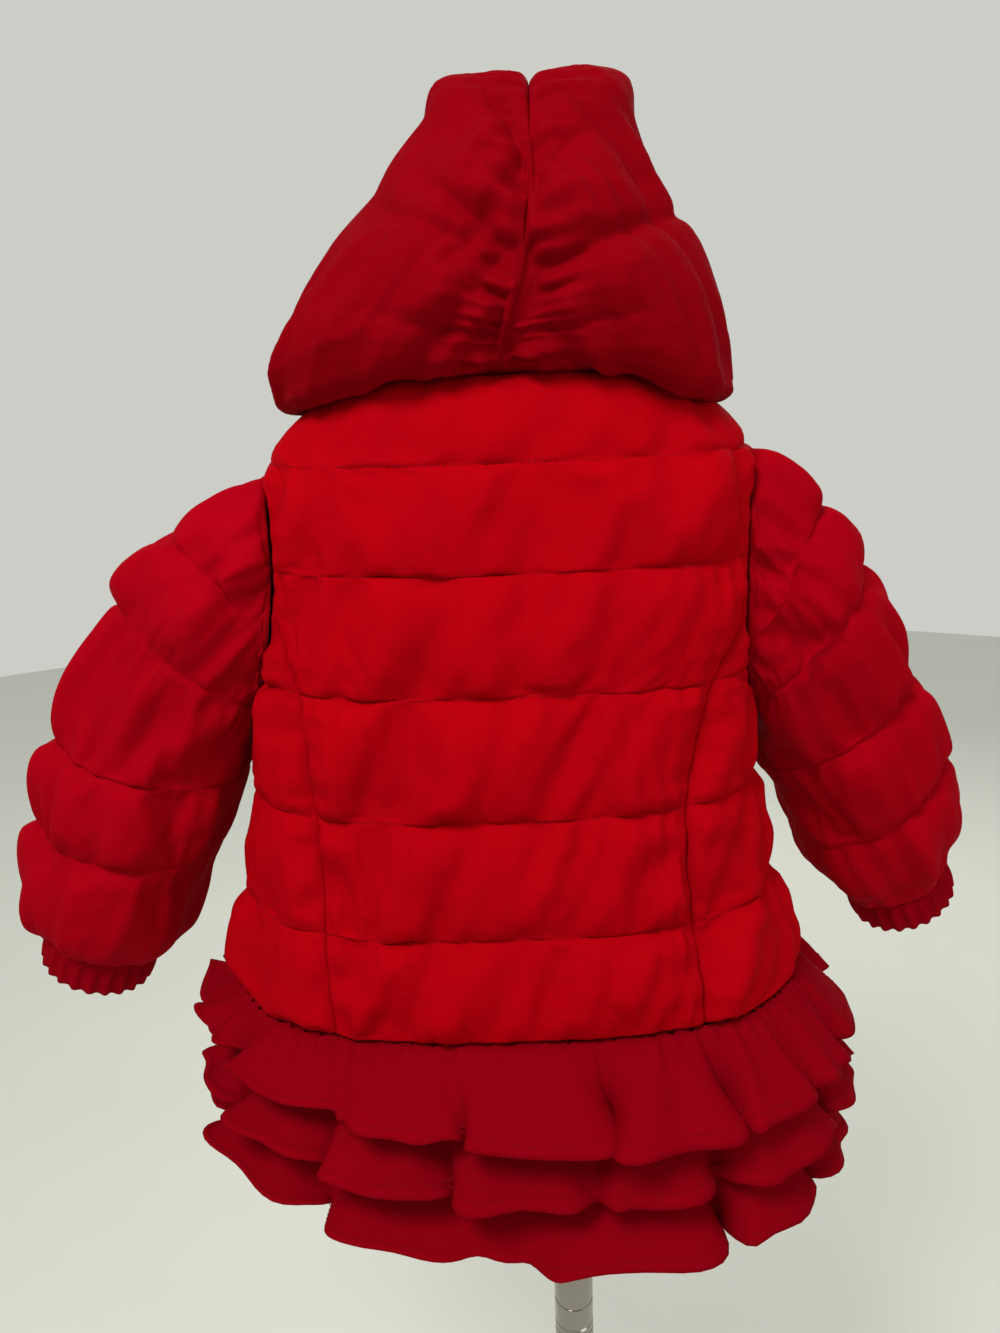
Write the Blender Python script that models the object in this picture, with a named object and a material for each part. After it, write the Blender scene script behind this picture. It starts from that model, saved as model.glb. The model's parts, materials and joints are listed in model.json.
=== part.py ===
"""A small child's quilted coat with a hood and a three-tier frill, on a limbless dress form and pole stand.

Metres, +Z up; the coat's back faces +Y and the wearer's left is +X. The origin is the centre of the
stand base's underside, on the pole's axis. Each cut piece of the coat is a wall of its own, a short
seam gap from its neighbours: a plain inside, and an outside that swells between the stitched lines.
"""

import math

import bmesh
import bpy
from mathutils import Vector

# ---- driving sizes
SEAM_GAP = 0.0004  # between two pieces that are sewn together
PADDED_WALL = 0.003  # a quilted wall along its stitching
SHEET_WALL = 0.0012  # the frill's single cloth
COAT_X = 0.028  # the coat's middle, beside the pole's axis
BODY_PUFF = 0.010
SLEEVE_PUFF = 0.008
HOOD_PUFF = 0.010
PUFF_REACH = 0.025  # from a seam to where a body panel is full
ARMHOLE_REACH = 0.028  # the same beside the armhole
ROUND_POWER = 2.7  # superellipse power of the coat's round
ROW_STEPS = (0.12, 0.35, 0.65, 0.88, 1.0)  # rows across one quilted channel

TORSO = (  # height, half width, half depth of the coat's inner wall, sway of its middle
    (0.797, 0.173, 0.104, 0.004),
    (0.825, 0.166, 0.100, 0.006),
    (0.865, 0.156, 0.095, 0.009),
    (0.940, 0.145, 0.087, 0.010),
    (1.000, 0.142, 0.084, 0.005),
    (1.050, 0.141, 0.081, 0.001),
    (1.100, 0.137, 0.076, 0.000),
    (1.117, 0.132, 0.073, 0.000),
    (1.130, 0.120, 0.070, 0.000),
    (1.139, 0.107, 0.067, 0.000),
    (1.146, 0.093, 0.063, 0.000),
    (1.150, 0.079, 0.058, 0.000),
)
QUILT_LINES = (0.797, 0.857, 0.925, 0.995, 1.061, 1.117, 1.150)
YOKE_PUFF = 0.4  # the top channel's share of the others' fullness
NECK_TILT = 0.009  # the neck seam is this much higher at the back, and lower in front

# ---- the armhole, an ellipse across the coat's side
ARM_TOP = QUILT_LINES[5]
ARM_LOW = QUILT_LINES[2] + ROW_STEPS[2] * (QUILT_LINES[3] - QUILT_LINES[2])
ARM_HALF_DEPTH = 0.043

BACK_SEAM = (  # height, distance from the coat's middle of the seam down each side of the back
    (0.797, 0.106),
    (0.823, 0.106),
    (0.911, 0.102),
    (0.987, 0.111),
    (1.010, 0.120),
    (1.038, 0.129),
)
BACK_SEAM_HIGH = QUILT_LINES[3] + ROW_STEPS[2] * (QUILT_LINES[4] - QUILT_LINES[3])
BACK_SEAM_TOP = QUILT_LINES[3] + ROW_STEPS[3] * (QUILT_LINES[4] - QUILT_LINES[3])  # at the armhole
SIDE_TIP = 0.75  # how far the side panel's point reaches between those two heights
FRONT_EDGE = 0.0105  # from the coat's middle to each front's edge beside the zip

SLEEVE_TOP = {  # from the coat's middle, on the sleeve's axis
    "left": Vector((0.153, 0.0, 1.121)),
    "right": Vector((-0.120, 0.0, 1.121)),
}
SLEEVE_AXIS = {"left": Vector((0.395, -0.070, -0.916)), "right": Vector((-0.430, -0.235, -0.880))}
SLEEVE_LEAVE = {"left": 0.48, "right": 0.18}  # how far outwards each sleeve's top starts
SLEEVE_LINES = {  # distance along the axis of each stitched line, on the outer and the inner side
    "left": ((0.056, 0.088), (0.108, 0.132), (0.212, 0.194), (0.278, 0.252), (0.348, 0.348)),
    "right": ((0.058, 0.104), (0.112, 0.138), (0.200, 0.216), (0.276, 0.294), (0.371, 0.371)),
}
SLEEVE_CLEARANCE = 0.0025  # between a sleeve and the body it hangs against
SLEEVE_ROUND = (  # distance along the axis, half width, half depth along the stitching
    (0.190, 0.0555, 0.0480),
    (0.270, 0.0550, 0.0470),
    (0.318, 0.0520, 0.0450),
    (0.339, 0.0450, 0.0410),
    (0.350, 0.0370, 0.0345),
)
CUFF_LENGTH = 0.026
CUFF_WALL = 0.0026
CUFF_RIBS = 22
CUFF_RIB = 0.0012

HOOD_ROWS = (  # seam x, y, z | left side x, right side x, side y, z | edge half width, y, z
    (0.001, 0.071, 1.1645, 0.100, -0.099, 0.000, 1.1510, 0.026, -0.062, 1.1430),
    (0.002, 0.079, 1.1700, 0.114, -0.113, 0.000, 1.1440, 0.036, -0.076, 1.1450),
    (0.000, 0.085, 1.1800, 0.118, -0.114, 0.000, 1.1530, 0.042, -0.084, 1.1520),
    (-0.004, 0.088, 1.1930, 0.119, -0.111, -0.002, 1.1740, 0.047, -0.090, 1.1640),
    (-0.010, 0.088, 1.2130, 0.107, -0.104, -0.004, 1.1980, 0.051, -0.095, 1.1840),
    (-0.014, 0.080, 1.2400, 0.085, -0.093, -0.008, 1.2290, 0.049, -0.097, 1.2120),
    (-0.016, 0.065, 1.2680, 0.061, -0.080, -0.012, 1.2570, 0.042, -0.094, 1.2410),
    (-0.017, 0.042, 1.2930, 0.037, -0.069, -0.014, 1.2850, 0.034, -0.088, 1.2660),
    (-0.018, 0.016, 1.3090, 0.023, -0.063, -0.012, 1.3060, 0.030, -0.083, 1.2850),
    (-0.019, -0.012, 1.3130, 0.018, -0.059, -0.022, 1.3130, 0.031, -0.082, 1.2930),
    (-0.020, -0.045, 1.3110, 0.006, -0.046, -0.052, 1.3070, 0.029, -0.082, 1.2955),
    (-0.020, -0.074, 1.3040, -0.006, -0.034, -0.077, 1.3020, 0.021, -0.080, 1.2985),
)
HOOD_FOLDS = (  # from x, z to x, z, seen from behind | depth
    (-0.014, 1.268, 0.008, 1.302, 0.006),
    (-0.012, 1.208, 0.027, 1.251, 0.007),
    (-0.008, 1.194, 0.040, 1.238, 0.006),
    (-0.018, 1.255, -0.040, 1.276, 0.006),
    (-0.012, 1.203, -0.080, 1.233, 0.008),
    (-0.004, 1.178, -0.060, 1.196, 0.004),
    (0.000, 1.176, 0.050, 1.200, 0.004),
)
FOLD_WIDTH = 0.008
HOOD_COLUMNS = 12
HOOD_CLEARANCE = 0.0010  # between the hood and the shoulders that it lies on

FRILL_TIERS = (  # name | waves, phase | height, offset, wave size and side lift, from the seam down
    ("ruffle_1", 17, 0.4,
     ((0.7962, 0.0026, 0.0, 0.0), (0.780, 0.018, 0.004, 0.002), (0.759, 0.034, 0.011, 0.006))),
    ("ruffle_2", 16, 2.1,
     ((0.7962, 0.0008, 0.0, 0.0), (0.758, 0.0085, 0.002, 0.006), (0.721, 0.035, 0.011, 0.012))),
    ("ruffle_3", 12, 4.3,
     ((0.7962, -0.0010, 0.0, 0.0), (0.720, 0.008, 0.002, 0.012), (0.680, 0.034, 0.012, 0.022))),
)
FRILL_SEAM = (0.173, 0.104, 0.004)  # half width, half depth and sway of the coat's inner wall there
FRILL_REACH = 0.034  # how far the free edges stand out from the seam
FRILL_LEAN = 0.005  # the free edges hang this far to the right of the seam
FRILL_TILT = 0.07  # and lower towards the right, for each metre across
FRILL_POWER = 2.2  # superellipse power of a tier's round where it stands out furthest
FRILL_BACK = 1.25  # the tiers stand out this much further behind than at the sides
FRILL_OPENING = 0.035  # angle left open at the middle of the front, each side
POINTS_A_WAVE = 5
FRILL_ROW_HEIGHT = 0.024  # about how far apart the rows of points down a tier are
FRILL_LIFT = 0.25  # how far a wave's crest rises for its reach outwards

ZIP_TAPE = (0.0012, 0.0098)  # its edges, from the coat's middle
ZIP_HEIGHTS = (0.800, 1.146)
SLIDER_HEIGHT = 1.104
SLIDER = (0.0100, 0.0040, 0.0130)
TAB = (0.0060, 0.0014, 0.0260)

FORM_SHIFT = 0.020  # the hips stand this far from the coat's middle
FORM_GAP = 0.0008
FORM = (  # height, half width, half depth, share of FORM_SHIFT
    (0.655, 0.098, 0.070, 1.0),
    (0.665, 0.108, 0.079, 1.0),
    (0.690, 0.115, 0.086, 1.0),
    (0.750, 0.120, 0.089, 1.0),
    (0.820, 0.116, 0.084, 0.8),
    (0.900, 0.106, 0.074, 0.4),
    (0.970, 0.112, 0.073, 0.1),
    (1.040, 0.121, 0.074, 0.0),
    (1.090, 0.123, 0.068, 0.0),
    (1.110, 0.120, 0.060, 0.0),
)
FORM_SHOULDER_ROWS = (1.124, 1.132, 1.139, 1.145)  # heights where the form fills the coat's shoulders
FORM_SHOULDER_DEPTHS = (0.054, 0.050, 0.047, 0.045)
FORM_NECK = ((1.149, 0.060, 0.042), (1.153, 0.048, 0.040), (1.170, 0.043, 0.039), (1.184, 0.043, 0.039),
             (1.190, 0.040, 0.036))
STUMP_HALF_GAP = 0.050
STUMP = (  # height, half width, half depth
    (0.605, 0.030, 0.050),
    (0.608, 0.040, 0.062),
    (0.616, 0.045, 0.068),
    (0.640, 0.047, 0.071),
    (0.700, 0.047, 0.071),
)
MAST_SOCKET = 0.0115  # the hole for the mast in the form's right stump

MAST_RADIUS = 0.0110
MAST_HEIGHTS = (0.180, 0.640)
TUBE_RADIUS = 0.0125
TUBE_BORE = 0.0114
TUBE_HEIGHTS = (0.0295, 0.455)
COLLAR_PROFILE = (  # radius, height: top to bottom, with the ring line and the grip's grooves
    (0.0134, 0.5400), (0.0142, 0.5390), (0.0142, 0.5040), (0.0136, 0.5035), (0.0136, 0.5025),
    (0.0142, 0.5020), (0.0142, 0.4840),
)
COLLAR_FIT = 0.0003
GROOVES = 5
GROOVE_PITCH = 0.0066
GROOVE_DEPTH = 0.0010
COLLAR_LOW = 0.440
BASE_RADIUS = 0.140
BASE_THICKNESS = 0.006


def clear_scene():
    for thing in list(bpy.data.objects):
        bpy.data.objects.remove(thing)


def material(name, colour, roughness, metallic=0.0):
    made = bpy.data.materials.new(name)
    made.use_nodes = True
    shader = made.node_tree.nodes["Principled BSDF"]
    shader.inputs["Base Color"].default_value = (*colour, 1.0)
    shader.inputs["Roughness"].default_value = roughness
    shader.inputs["Metallic"].default_value = metallic
    return made


def place(name, mesh, finish):
    """Puts a finished bmesh into the scene as one closed, outward-facing object."""
    bmesh.ops.recalc_face_normals(mesh, faces=mesh.faces[:])
    data = bpy.data.meshes.new(name)
    mesh.to_mesh(data)
    mesh.free()
    data.materials.append(finish)
    thing = bpy.data.objects.new(name, data)
    bpy.context.scene.collection.objects.link(thing)
    return thing


# ---- curves and tables
def smooth_table(table, where):
    """The table's other columns at a value of its first, along a smooth curve through its rows."""
    last = len(table) - 1
    where = min(max(where, table[0][0]), table[last][0])
    i = next((k for k in range(last) if where <= table[k + 1][0]), last - 1)
    before, low, high, after = table[max(i - 1, 0)], table[i], table[i + 1], table[min(i + 2, last)]
    span = high[0] - low[0]
    t = (where - low[0]) / span
    values = []
    for column in range(1, len(low)):
        start = (high[column] - before[column]) / (high[0] - before[0]) * span
        end = (after[column] - low[column]) / (after[0] - low[0]) * span
        a = 2 * t**3 - 3 * t**2 + 1
        b = t**3 - 2 * t**2 + t
        c = 3 * t**2 - 2 * t**3
        d = t**3 - t**2
        values.append(a * low[column] + b * start + c * high[column] + d * end)
    return values


def smooth_step(low, high, value):
    t = min(max((value - low) / (high - low), 0.0), 1.0)
    return t * t * (3 - 2 * t)


def swell(distance, reach):
    """How full a padded wall is at a distance from its stitching, from 0 to 1."""
    t = min(max(distance / reach, 0.0), 1.0)
    return math.sqrt(1 - (1 - t) ** 2)


def eased(count):
    """Shares from 0 to 1, closer together at both ends, where a padded wall curves most."""
    return [i / count - 0.55 * math.sin(2 * math.pi * i / count) / (2 * math.pi) for i in range(count + 1)]


def signed_power(value, power):
    return math.copysign(abs(value) ** power, value)


# ---- walls
def add_grid(mesh, grid, closed, flip):
    rows = [[mesh.verts.new(point) for point in row] for row in grid]
    for low, high in zip(rows, rows[1:]):
        count = len(low)
        for i in range(count if closed else count - 1):
            j = (i + 1) % count
            face = (low[i], low[j], high[j], high[i])
            mesh.faces.new(face[::-1] if flip else face)
    return rows


def line_shares(line):
    lengths = [0.0]
    for one, other in zip(line, line[1:]):
        lengths.append(lengths[-1] + (other.co - one.co).length)
    return [length / lengths[-1] for length in lengths]


def add_strip(mesh, one, other):
    """Joins two lines of vertices that run side by side, also where their counts differ."""
    shares, others = line_shares(one), line_shares(other)
    i = j = 0
    while i < len(one) - 1 or j < len(other) - 1:
        next_one = shares[i + 1] if i < len(one) - 1 else 2.0
        next_other = others[j + 1] if j < len(other) - 1 else 2.0
        if len(one) == len(other):
            mesh.faces.new((one[i], one[i + 1], other[j + 1], other[j]))
            i += 1
            j += 1
        elif next_one <= next_other:
            mesh.faces.new((one[i], one[i + 1], other[j]))
            i += 1
        else:
            mesh.faces.new((one[i], other[j + 1], other[j]))
            j += 1


def wall(name, outer, inner, finish, closed=False):
    """A cloth wall between an outer and an inner grid of points, which share their sides' rows."""
    mesh = bmesh.new()
    out = add_grid(mesh, outer, closed, False)
    inside = add_grid(mesh, inner, closed, True)
    for one, other in ((out[0], inside[0]), (out[-1], inside[-1])):
        add_strip(mesh, one + one[:1] * closed, other + other[:1] * closed)
    if not closed:
        for end in (0, -1):
            add_strip(mesh, [row[end] for row in out], [row[end] for row in inside])
    return place(name, mesh, finish)


def grid_normals(grid, closed):
    """The unit normal at each point of a grid, on the right of its rows as they run upwards."""
    rows, columns = len(grid), len(grid[0])
    normals = []
    for i in range(rows):
        normals.append([])
        for j in range(columns):
            before = (j - 1) % columns if closed else max(j - 1, 0)
            after = (j + 1) % columns if closed else min(j + 1, columns - 1)
            across = grid[i][after] - grid[i][before]
            along = grid[min(i + 1, rows - 1)][j] - grid[max(i - 1, 0)][j]
            normals[-1].append(across.cross(along).normalized())
    return normals


# ---- the coat's body
def torso_point(angle, height):
    half_width, half_depth, sway = smooth_table(TORSO, height)
    x = half_width * signed_power(math.cos(angle), 2 / ROUND_POWER)
    y = half_depth * signed_power(math.sin(angle), 2 / ROUND_POWER)
    tilt = NECK_TILT * math.sin(angle) * smooth_step(ARM_TOP, TORSO[-1][0], height)
    return Vector((COAT_X + sway + x, y, height + tilt))


def torso_normal(angle, height):
    low, high = max(height - 0.001, TORSO[0][0]), min(height + 0.001, TORSO[-1][0])
    across = torso_point(angle + 0.01, height) - torso_point(angle - 0.01, height)
    along = torso_point(angle, high) - torso_point(angle, low)
    return across.cross(along).normalized()


def angle_at_x(x, height):
    half_width = smooth_table(TORSO, height)[0]
    return math.acos(min(x / half_width, 1.0) ** (ROUND_POWER / 2))


def armhole_angle(height):
    """The angle from the coat's side to the armhole, which is the same to the back and the front."""
    middle, half = (ARM_TOP + ARM_LOW) / 2, (ARM_TOP - ARM_LOW) / 2
    depth = ARM_HALF_DEPTH * math.sqrt(max(1 - ((height - middle) / half) ** 2, 0.0))
    return math.asin((depth / smooth_table(TORSO, height)[1]) ** (ROUND_POWER / 2))


def back_seam_angle(height):
    if height <= BACK_SEAM_HIGH:
        return angle_at_x(smooth_table(BACK_SEAM, height)[0], height)
    share = min((height - BACK_SEAM_HIGH) / (BACK_SEAM_TOP - BACK_SEAM_HIGH), 1.0)
    low = angle_at_x(smooth_table(BACK_SEAM, BACK_SEAM_HIGH)[0], BACK_SEAM_HIGH)
    return low + share * (armhole_angle(height) - low)


def side_angle(height):
    return armhole_angle(height) if ARM_LOW < height < ARM_TOP else 0.0


def back_centre_angle(height):
    return back_seam_angle(height) if height < BACK_SEAM_TOP else side_angle(height)


def front_angle(height):
    return -angle_at_x(FRONT_EDGE, height)


def channel_rows():
    rows = [QUILT_LINES[0]]
    for low, high in zip(QUILT_LINES, QUILT_LINES[1:]):
        rows += [low + step * (high - low) for step in ROW_STEPS]
    return rows


def channel_fullness(height):
    height = min(height, QUILT_LINES[-1])
    i = next(k for k in range(len(QUILT_LINES) - 1) if height <= QUILT_LINES[k + 1] + 1e-9)
    low, high = QUILT_LINES[i], QUILT_LINES[i + 1]
    share = YOKE_PUFF if i == len(QUILT_LINES) - 2 else 1.0
    return share * swell(min(height - low, high - height), (high - low) / 2)


def armhole_fullness(y, height):
    """The padding flattens towards the armhole's seam."""
    middle, half = (ARM_TOP + ARM_LOW) / 2, (ARM_TOP - ARM_LOW) / 2
    round_share = math.hypot(y / ARM_HALF_DEPTH, (height - middle) / half)
    return swell((round_share - 1) * ARM_HALF_DEPTH, ARMHOLE_REACH)


def section_angles(start, end, height, shares):
    """Angles that divide the coat's round between two angles into shares of its length."""
    steps = 48
    angles = [start + (end - start) * i / steps for i in range(steps + 1)]
    points = [torso_point(a, height) for a in angles]
    lengths = [0.0]
    for one, other in zip(points, points[1:]):
        lengths.append(lengths[-1] + (other - one).length)
    inset = SEAM_GAP / 2
    found = []
    for share in shares:
        want = inset + share * (lengths[-1] - 2 * inset)
        k = next(i for i in range(steps) if want <= lengths[i + 1] + 1e-12)
        part = (want - lengths[k]) / (lengths[k + 1] - lengths[k])
        found.append((angles[k] + part * (angles[k + 1] - angles[k]), min(want, lengths[-1] - want)))
    return found


def body_panel(name, rows, start, end, columns, finish):
    """One quilted panel of the body between two seams, each an angle that depends on the height."""
    outer, inner = [], []
    for height in rows:
        outer.append([])
        inner.append([])
        for angle, from_seam in section_angles(start(height), end(height), height, eased(columns)):
            point, normal = torso_point(angle, height), torso_normal(angle, height)
            puff = BODY_PUFF * channel_fullness(height) * swell(from_seam, PUFF_REACH)
            puff *= armhole_fullness(point.y, height)
            outer[-1].append(point + normal * (PADDED_WALL + puff))
            inner[-1].append(point)
        needed = height >= ARM_LOW - 1e-6 or height in QUILT_LINES
        if not needed:
            inner.pop()
    wall(name, outer, inner, finish)


def mirrored(angle):
    return lambda height: math.pi - angle(height)


def make_body(finish):
    rows = channel_rows()
    tip = BACK_SEAM_HIGH + SIDE_TIP * (BACK_SEAM_TOP - BACK_SEAM_HIGH)
    side_rows = [height for height in rows if height <= BACK_SEAM_HIGH + 1e-6] + [tip]
    body_panel("back_centre", rows, back_centre_angle, mirrored(back_centre_angle), 12, finish)
    body_panel("back_side_left", side_rows, side_angle, back_seam_angle, 4, finish)
    body_panel("back_side_right", side_rows, mirrored(back_seam_angle), mirrored(side_angle), 4, finish)
    low_side = lambda height: -side_angle(height)
    body_panel("front_left", rows, front_angle, low_side, 7, finish)
    body_panel("front_right", rows, mirrored(low_side), mirrored(front_angle), 7, finish)


# ---- the sleeves
def armhole_loop(side):
    """The coat's outer armhole edge, shrunk by the seam gap: top, back, bottom, front."""
    heights = [h for h in channel_rows() if ARM_LOW - 1e-6 <= h <= ARM_TOP + 1e-6][::-1]
    middle = (ARM_TOP + ARM_LOW) / 2
    shrink = 1 - 2 * SEAM_GAP / (ARM_TOP - middle)
    turns = [(h, 1) for h in heights] + [(h, -1) for h in heights[-2:0:-1]]
    loop = []
    for height, half in turns:
        angle = half * armhole_angle(height) * shrink
        inward = middle + (height - middle) * shrink
        if side == "right":
            angle = math.pi - angle
        loop.append(torso_point(angle, inward) + torso_normal(angle, inward) * PADDED_WALL)
    return loop


def sleeve_frame(side):
    """The sleeve's top, its axis, the direction to its outer side and the one to the back."""
    hand = 1 if side == "left" else -1
    top = SLEEVE_TOP[side] + Vector((COAT_X, 0, 0))
    axis = SLEEVE_AXIS[side].normalized()
    back = (Vector((0, 1, 0)) - axis * axis.y).normalized()
    out = hand * back.cross(axis).normalized() * -1
    if out.x * hand < 0:
        out = -out
    return top, axis, out, back


def tube_point(frame, turn, distance):
    top, axis, out, back = frame
    half_width, half_depth = smooth_table(SLEEVE_ROUND, distance)
    return top + axis * distance + out * half_width * math.cos(turn) + back * half_depth * math.sin(turn)


def line_distance(side, line, turn):
    outer, inner = SLEEVE_LINES[side][line]
    return (outer + inner) / 2 + (outer - inner) / 2 * math.cos(turn)


def bezier(points, t):
    s = 1 - t
    a, b, c, d = points
    return a * s**3 + b * 3 * s * s * t + c * 3 * s * t * t + d * t**3


def sleeve_column(side, frame, start, turn):
    """One line of points from the armhole to the sleeve's end, with how full the padding is there."""
    top, axis, out, back = frame
    join = line_distance(side, 2, turn)
    end = tube_point(frame, turn, join)
    height_share = (math.cos(turn) + 1) / 2
    leave = out * (0.25 + SLEEVE_LEAVE[side] * height_share) + axis * (0.75 - 0.15 * height_share)
    leave = (leave + back * 0.30 * math.sin(turn)).normalized()
    reach = (end - start).length * 0.34
    handles = (start, start + leave * reach, end - axis * reach, end)
    samples = [bezier(handles, i / 60) for i in range(61)]
    distances = [(p - top).dot(axis) for p in samples]
    points = [(start, 0.0)]
    low = distances[0]
    for line in range(len(SLEEVE_LINES[side])):
        high = max(line_distance(side, line, turn), distances[0] + 0.0030 * (line + 1) * len(ROW_STEPS) / 2)
        for step in ROW_STEPS:
            want = low + step * (high - low)
            if want < distances[-1] - 1e-9:
                k = next(i for i in range(60) if distances[i + 1] >= want)
                part = (want - distances[k]) / max(distances[k + 1] - distances[k], 1e-9)
                point = samples[k].lerp(samples[k + 1], part)
            else:
                point = tube_point(frame, turn, want)
            full = swell(min(step, 1 - step), 0.5) * min((high - low) / 0.03, 1.0)
            points.append((point, full * (0.65 + 0.35 * math.cos(turn))))
        low = high
    return points


def push_off_body(point, side):
    """How far a sleeve's point moves sideways to lie against the body and not in it."""
    hand = 1 if side == "left" else -1
    if not TORSO[0][0] < point.z < ARM_TOP:
        return 0.0
    half_width, half_depth, sway = smooth_table(TORSO, point.z)
    across = min(abs(point.y) / half_depth, 1.0)
    reach = half_width * (1 - across**ROUND_POWER) ** (1 / ROUND_POWER)
    puff = BODY_PUFF * channel_fullness(point.z) * swell(abs(point.y), PUFF_REACH)
    puff *= armhole_fullness(point.y, point.z)
    limit = reach + PADDED_WALL + puff + SLEEVE_CLEARANCE
    beside = (point.x - COAT_X - sway) * hand
    return hand * max(limit - beside, 0.0)


def make_sleeve(side, finish):
    frame = sleeve_frame(side)
    loop = armhole_loop(side)
    count = len(loop)
    columns = [
        sleeve_column(side, frame, start, 2 * math.pi * i / count) for i, start in enumerate(loop)
    ]
    rows = list(zip(*columns))
    grid = [[point for point, _ in row] for row in rows]
    normals = grid_normals(grid, True)
    sign = 1 if normals[-3][0].dot(frame[2]) > 0 else -1
    outer, inner = [], []
    for i, row in enumerate(rows):
        shift = [normals[i][j] * sign for j in range(count)]
        outer.append([p + shift[j] * SLEEVE_PUFF * full for j, (p, full) in enumerate(row)])
        inner.append([p - shift[j] * PADDED_WALL for j, (p, _) in enumerate(row)])
        for j in range(count):
            push = push_off_body(outer[-1][j], side) if i > 0 else 0.0
            outer[-1][j].x += push
            inner[-1][j].x += push
    inner = inner[:4] + inner[5::5]
    wall(f"sleeve_{side}", outer, inner, finish, closed=True)


def make_cuff(side, finish):
    """A short ribbed tube inside the end of the sleeve's last channel."""
    frame = sleeve_frame(side)
    top, axis, out, back = frame
    half_width, half_depth = SLEEVE_ROUND[-1][1:]
    start = max(SLEEVE_LINES[side][-1]) + SEAM_GAP
    outer, inner = [], []
    for step, spread in ((0.0, 0.0), (0.25, 0.0004), (1.0, 0.001)):
        centre = top + axis * (start + step * CUFF_LENGTH)
        rib = CUFF_RIB * min(step * 4, 1.0)
        rings = ([], [])
        for i in range(2 * CUFF_RIBS):
            turn = math.pi * i / CUFF_RIBS
            for ring, inward in zip(rings, (rib * (i % 2), CUFF_WALL + CUFF_RIB)):
                across = out * (half_width + spread - inward) * math.cos(turn)
                ring.append(centre + across + back * (half_depth + spread - inward) * math.sin(turn))
        outer.append(rings[0])
        if step in (0.0, 1.0):
            inner.append(rings[1])
    wall(f"cuff_{side}", outer, inner, finish, closed=True)


# ---- the hood
def hood_row(row, side):
    """Three points of a hood row: on its seam, on its side and on the front edge."""
    seam_x, seam_y, seam_z, left, right, side_y, side_z, edge_half, edge_y, edge_z = row
    hand = 1 if side == "left" else -1
    gap = hand * SEAM_GAP / 2
    seam = Vector((COAT_X + seam_x + gap, seam_y, seam_z))
    flank = Vector((COAT_X + (left if side == "left" else right), side_y, side_z))
    edge = Vector((COAT_X + seam_x + hand * edge_half, edge_y, edge_z))
    return seam, flank, edge


def hood_curve(seam, flank, edge, share):
    """A point from the seam round the side to the front edge."""
    if share <= 0.5:
        turn = math.pi * share
        a, b = math.sin(turn) ** 0.85, math.cos(turn) ** 0.85
        return Vector((seam.x + (flank.x - seam.x) * a, flank.y + (seam.y - flank.y) * b,
                       seam.z + (flank.z - seam.z) * math.sin(turn) ** 1.5))
    turn = math.pi * (share - 0.5)
    a, b = math.sin(turn) ** 0.9, max(math.cos(turn), 0.0) ** 0.9
    return Vector((edge.x + (flank.x - edge.x) * b, flank.y + (edge.y - flank.y) * a,
                   flank.z + (edge.z - flank.z) * math.sin(turn) ** 1.5))


def neck_ring_point(side, share):
    """The hood's lowest row, just inside the top edge of the body."""
    height = QUILT_LINES[-1]
    front = -angle_at_x(FRONT_EDGE, height)
    angle = math.pi / 2 + share * (front - math.pi / 2)
    if side == "right":
        angle = math.pi - angle
    point = torso_point(angle, height) + torso_normal(angle, height) * PADDED_WALL
    inward = Vector((COAT_X - point.x, -point.y, 0)).normalized()
    point = point + inward * SEAM_GAP * 1.5 + Vector((0, 0, SEAM_GAP))
    hand = 1 if side == "left" else -1
    if share == 0:
        point.x = COAT_X + hand * SEAM_GAP / 2
    return point


def fold_depth(point):
    """How deep the creases that run out from the hood's seam are at a point of its back."""
    depth = 0.0
    for x1, z1, x2, z2, deep in HOOD_FOLDS:
        ax, az = point.x - COAT_X - x1, point.z - z1
        bx, bz = x2 - x1, z2 - z1
        t = min(max((ax * bx + az * bz) / (bx * bx + bz * bz), 0.0), 1.0)
        off = math.hypot(ax - t * bx, az - t * bz)
        depth += deep * (1 - 0.6 * t) * math.exp(-((off / FOLD_WIDTH) ** 2))
    return depth


def lift_off_shoulder(point):
    """How far a hood's point rises to lie on the coat's shoulders and not in them."""
    def beyond(height):
        half_width, half_depth, sway = smooth_table(TORSO, height)
        x, y = abs(point.x - COAT_X - sway) / half_width, abs(point.y) / half_depth
        return x**ROUND_POWER + y**ROUND_POWER > 1
    low, high = ARM_TOP - 0.010, TORSO[-1][0]
    if beyond(low) or not beyond(high) or point.z > high + 0.03:
        return 0.0
    for _ in range(16):
        middle = (low + high) / 2
        low, high = (low, middle) if beyond(middle) else (middle, high)
    y_share = point.y / smooth_table(TORSO, low)[1]
    sine = math.copysign(min(abs(y_share), 1.0) ** (ROUND_POWER / 2), y_share)
    surface = torso_point(math.asin(sine), low).z
    rise = torso_normal(math.asin(sine) if point.x > COAT_X else math.pi - math.asin(sine), low).z
    thick = PADDED_WALL + BODY_PUFF * channel_fullness(low)
    return max(surface + thick / max(rise, 0.35) + HOOD_CLEARANCE - point.z, 0.0)


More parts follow.
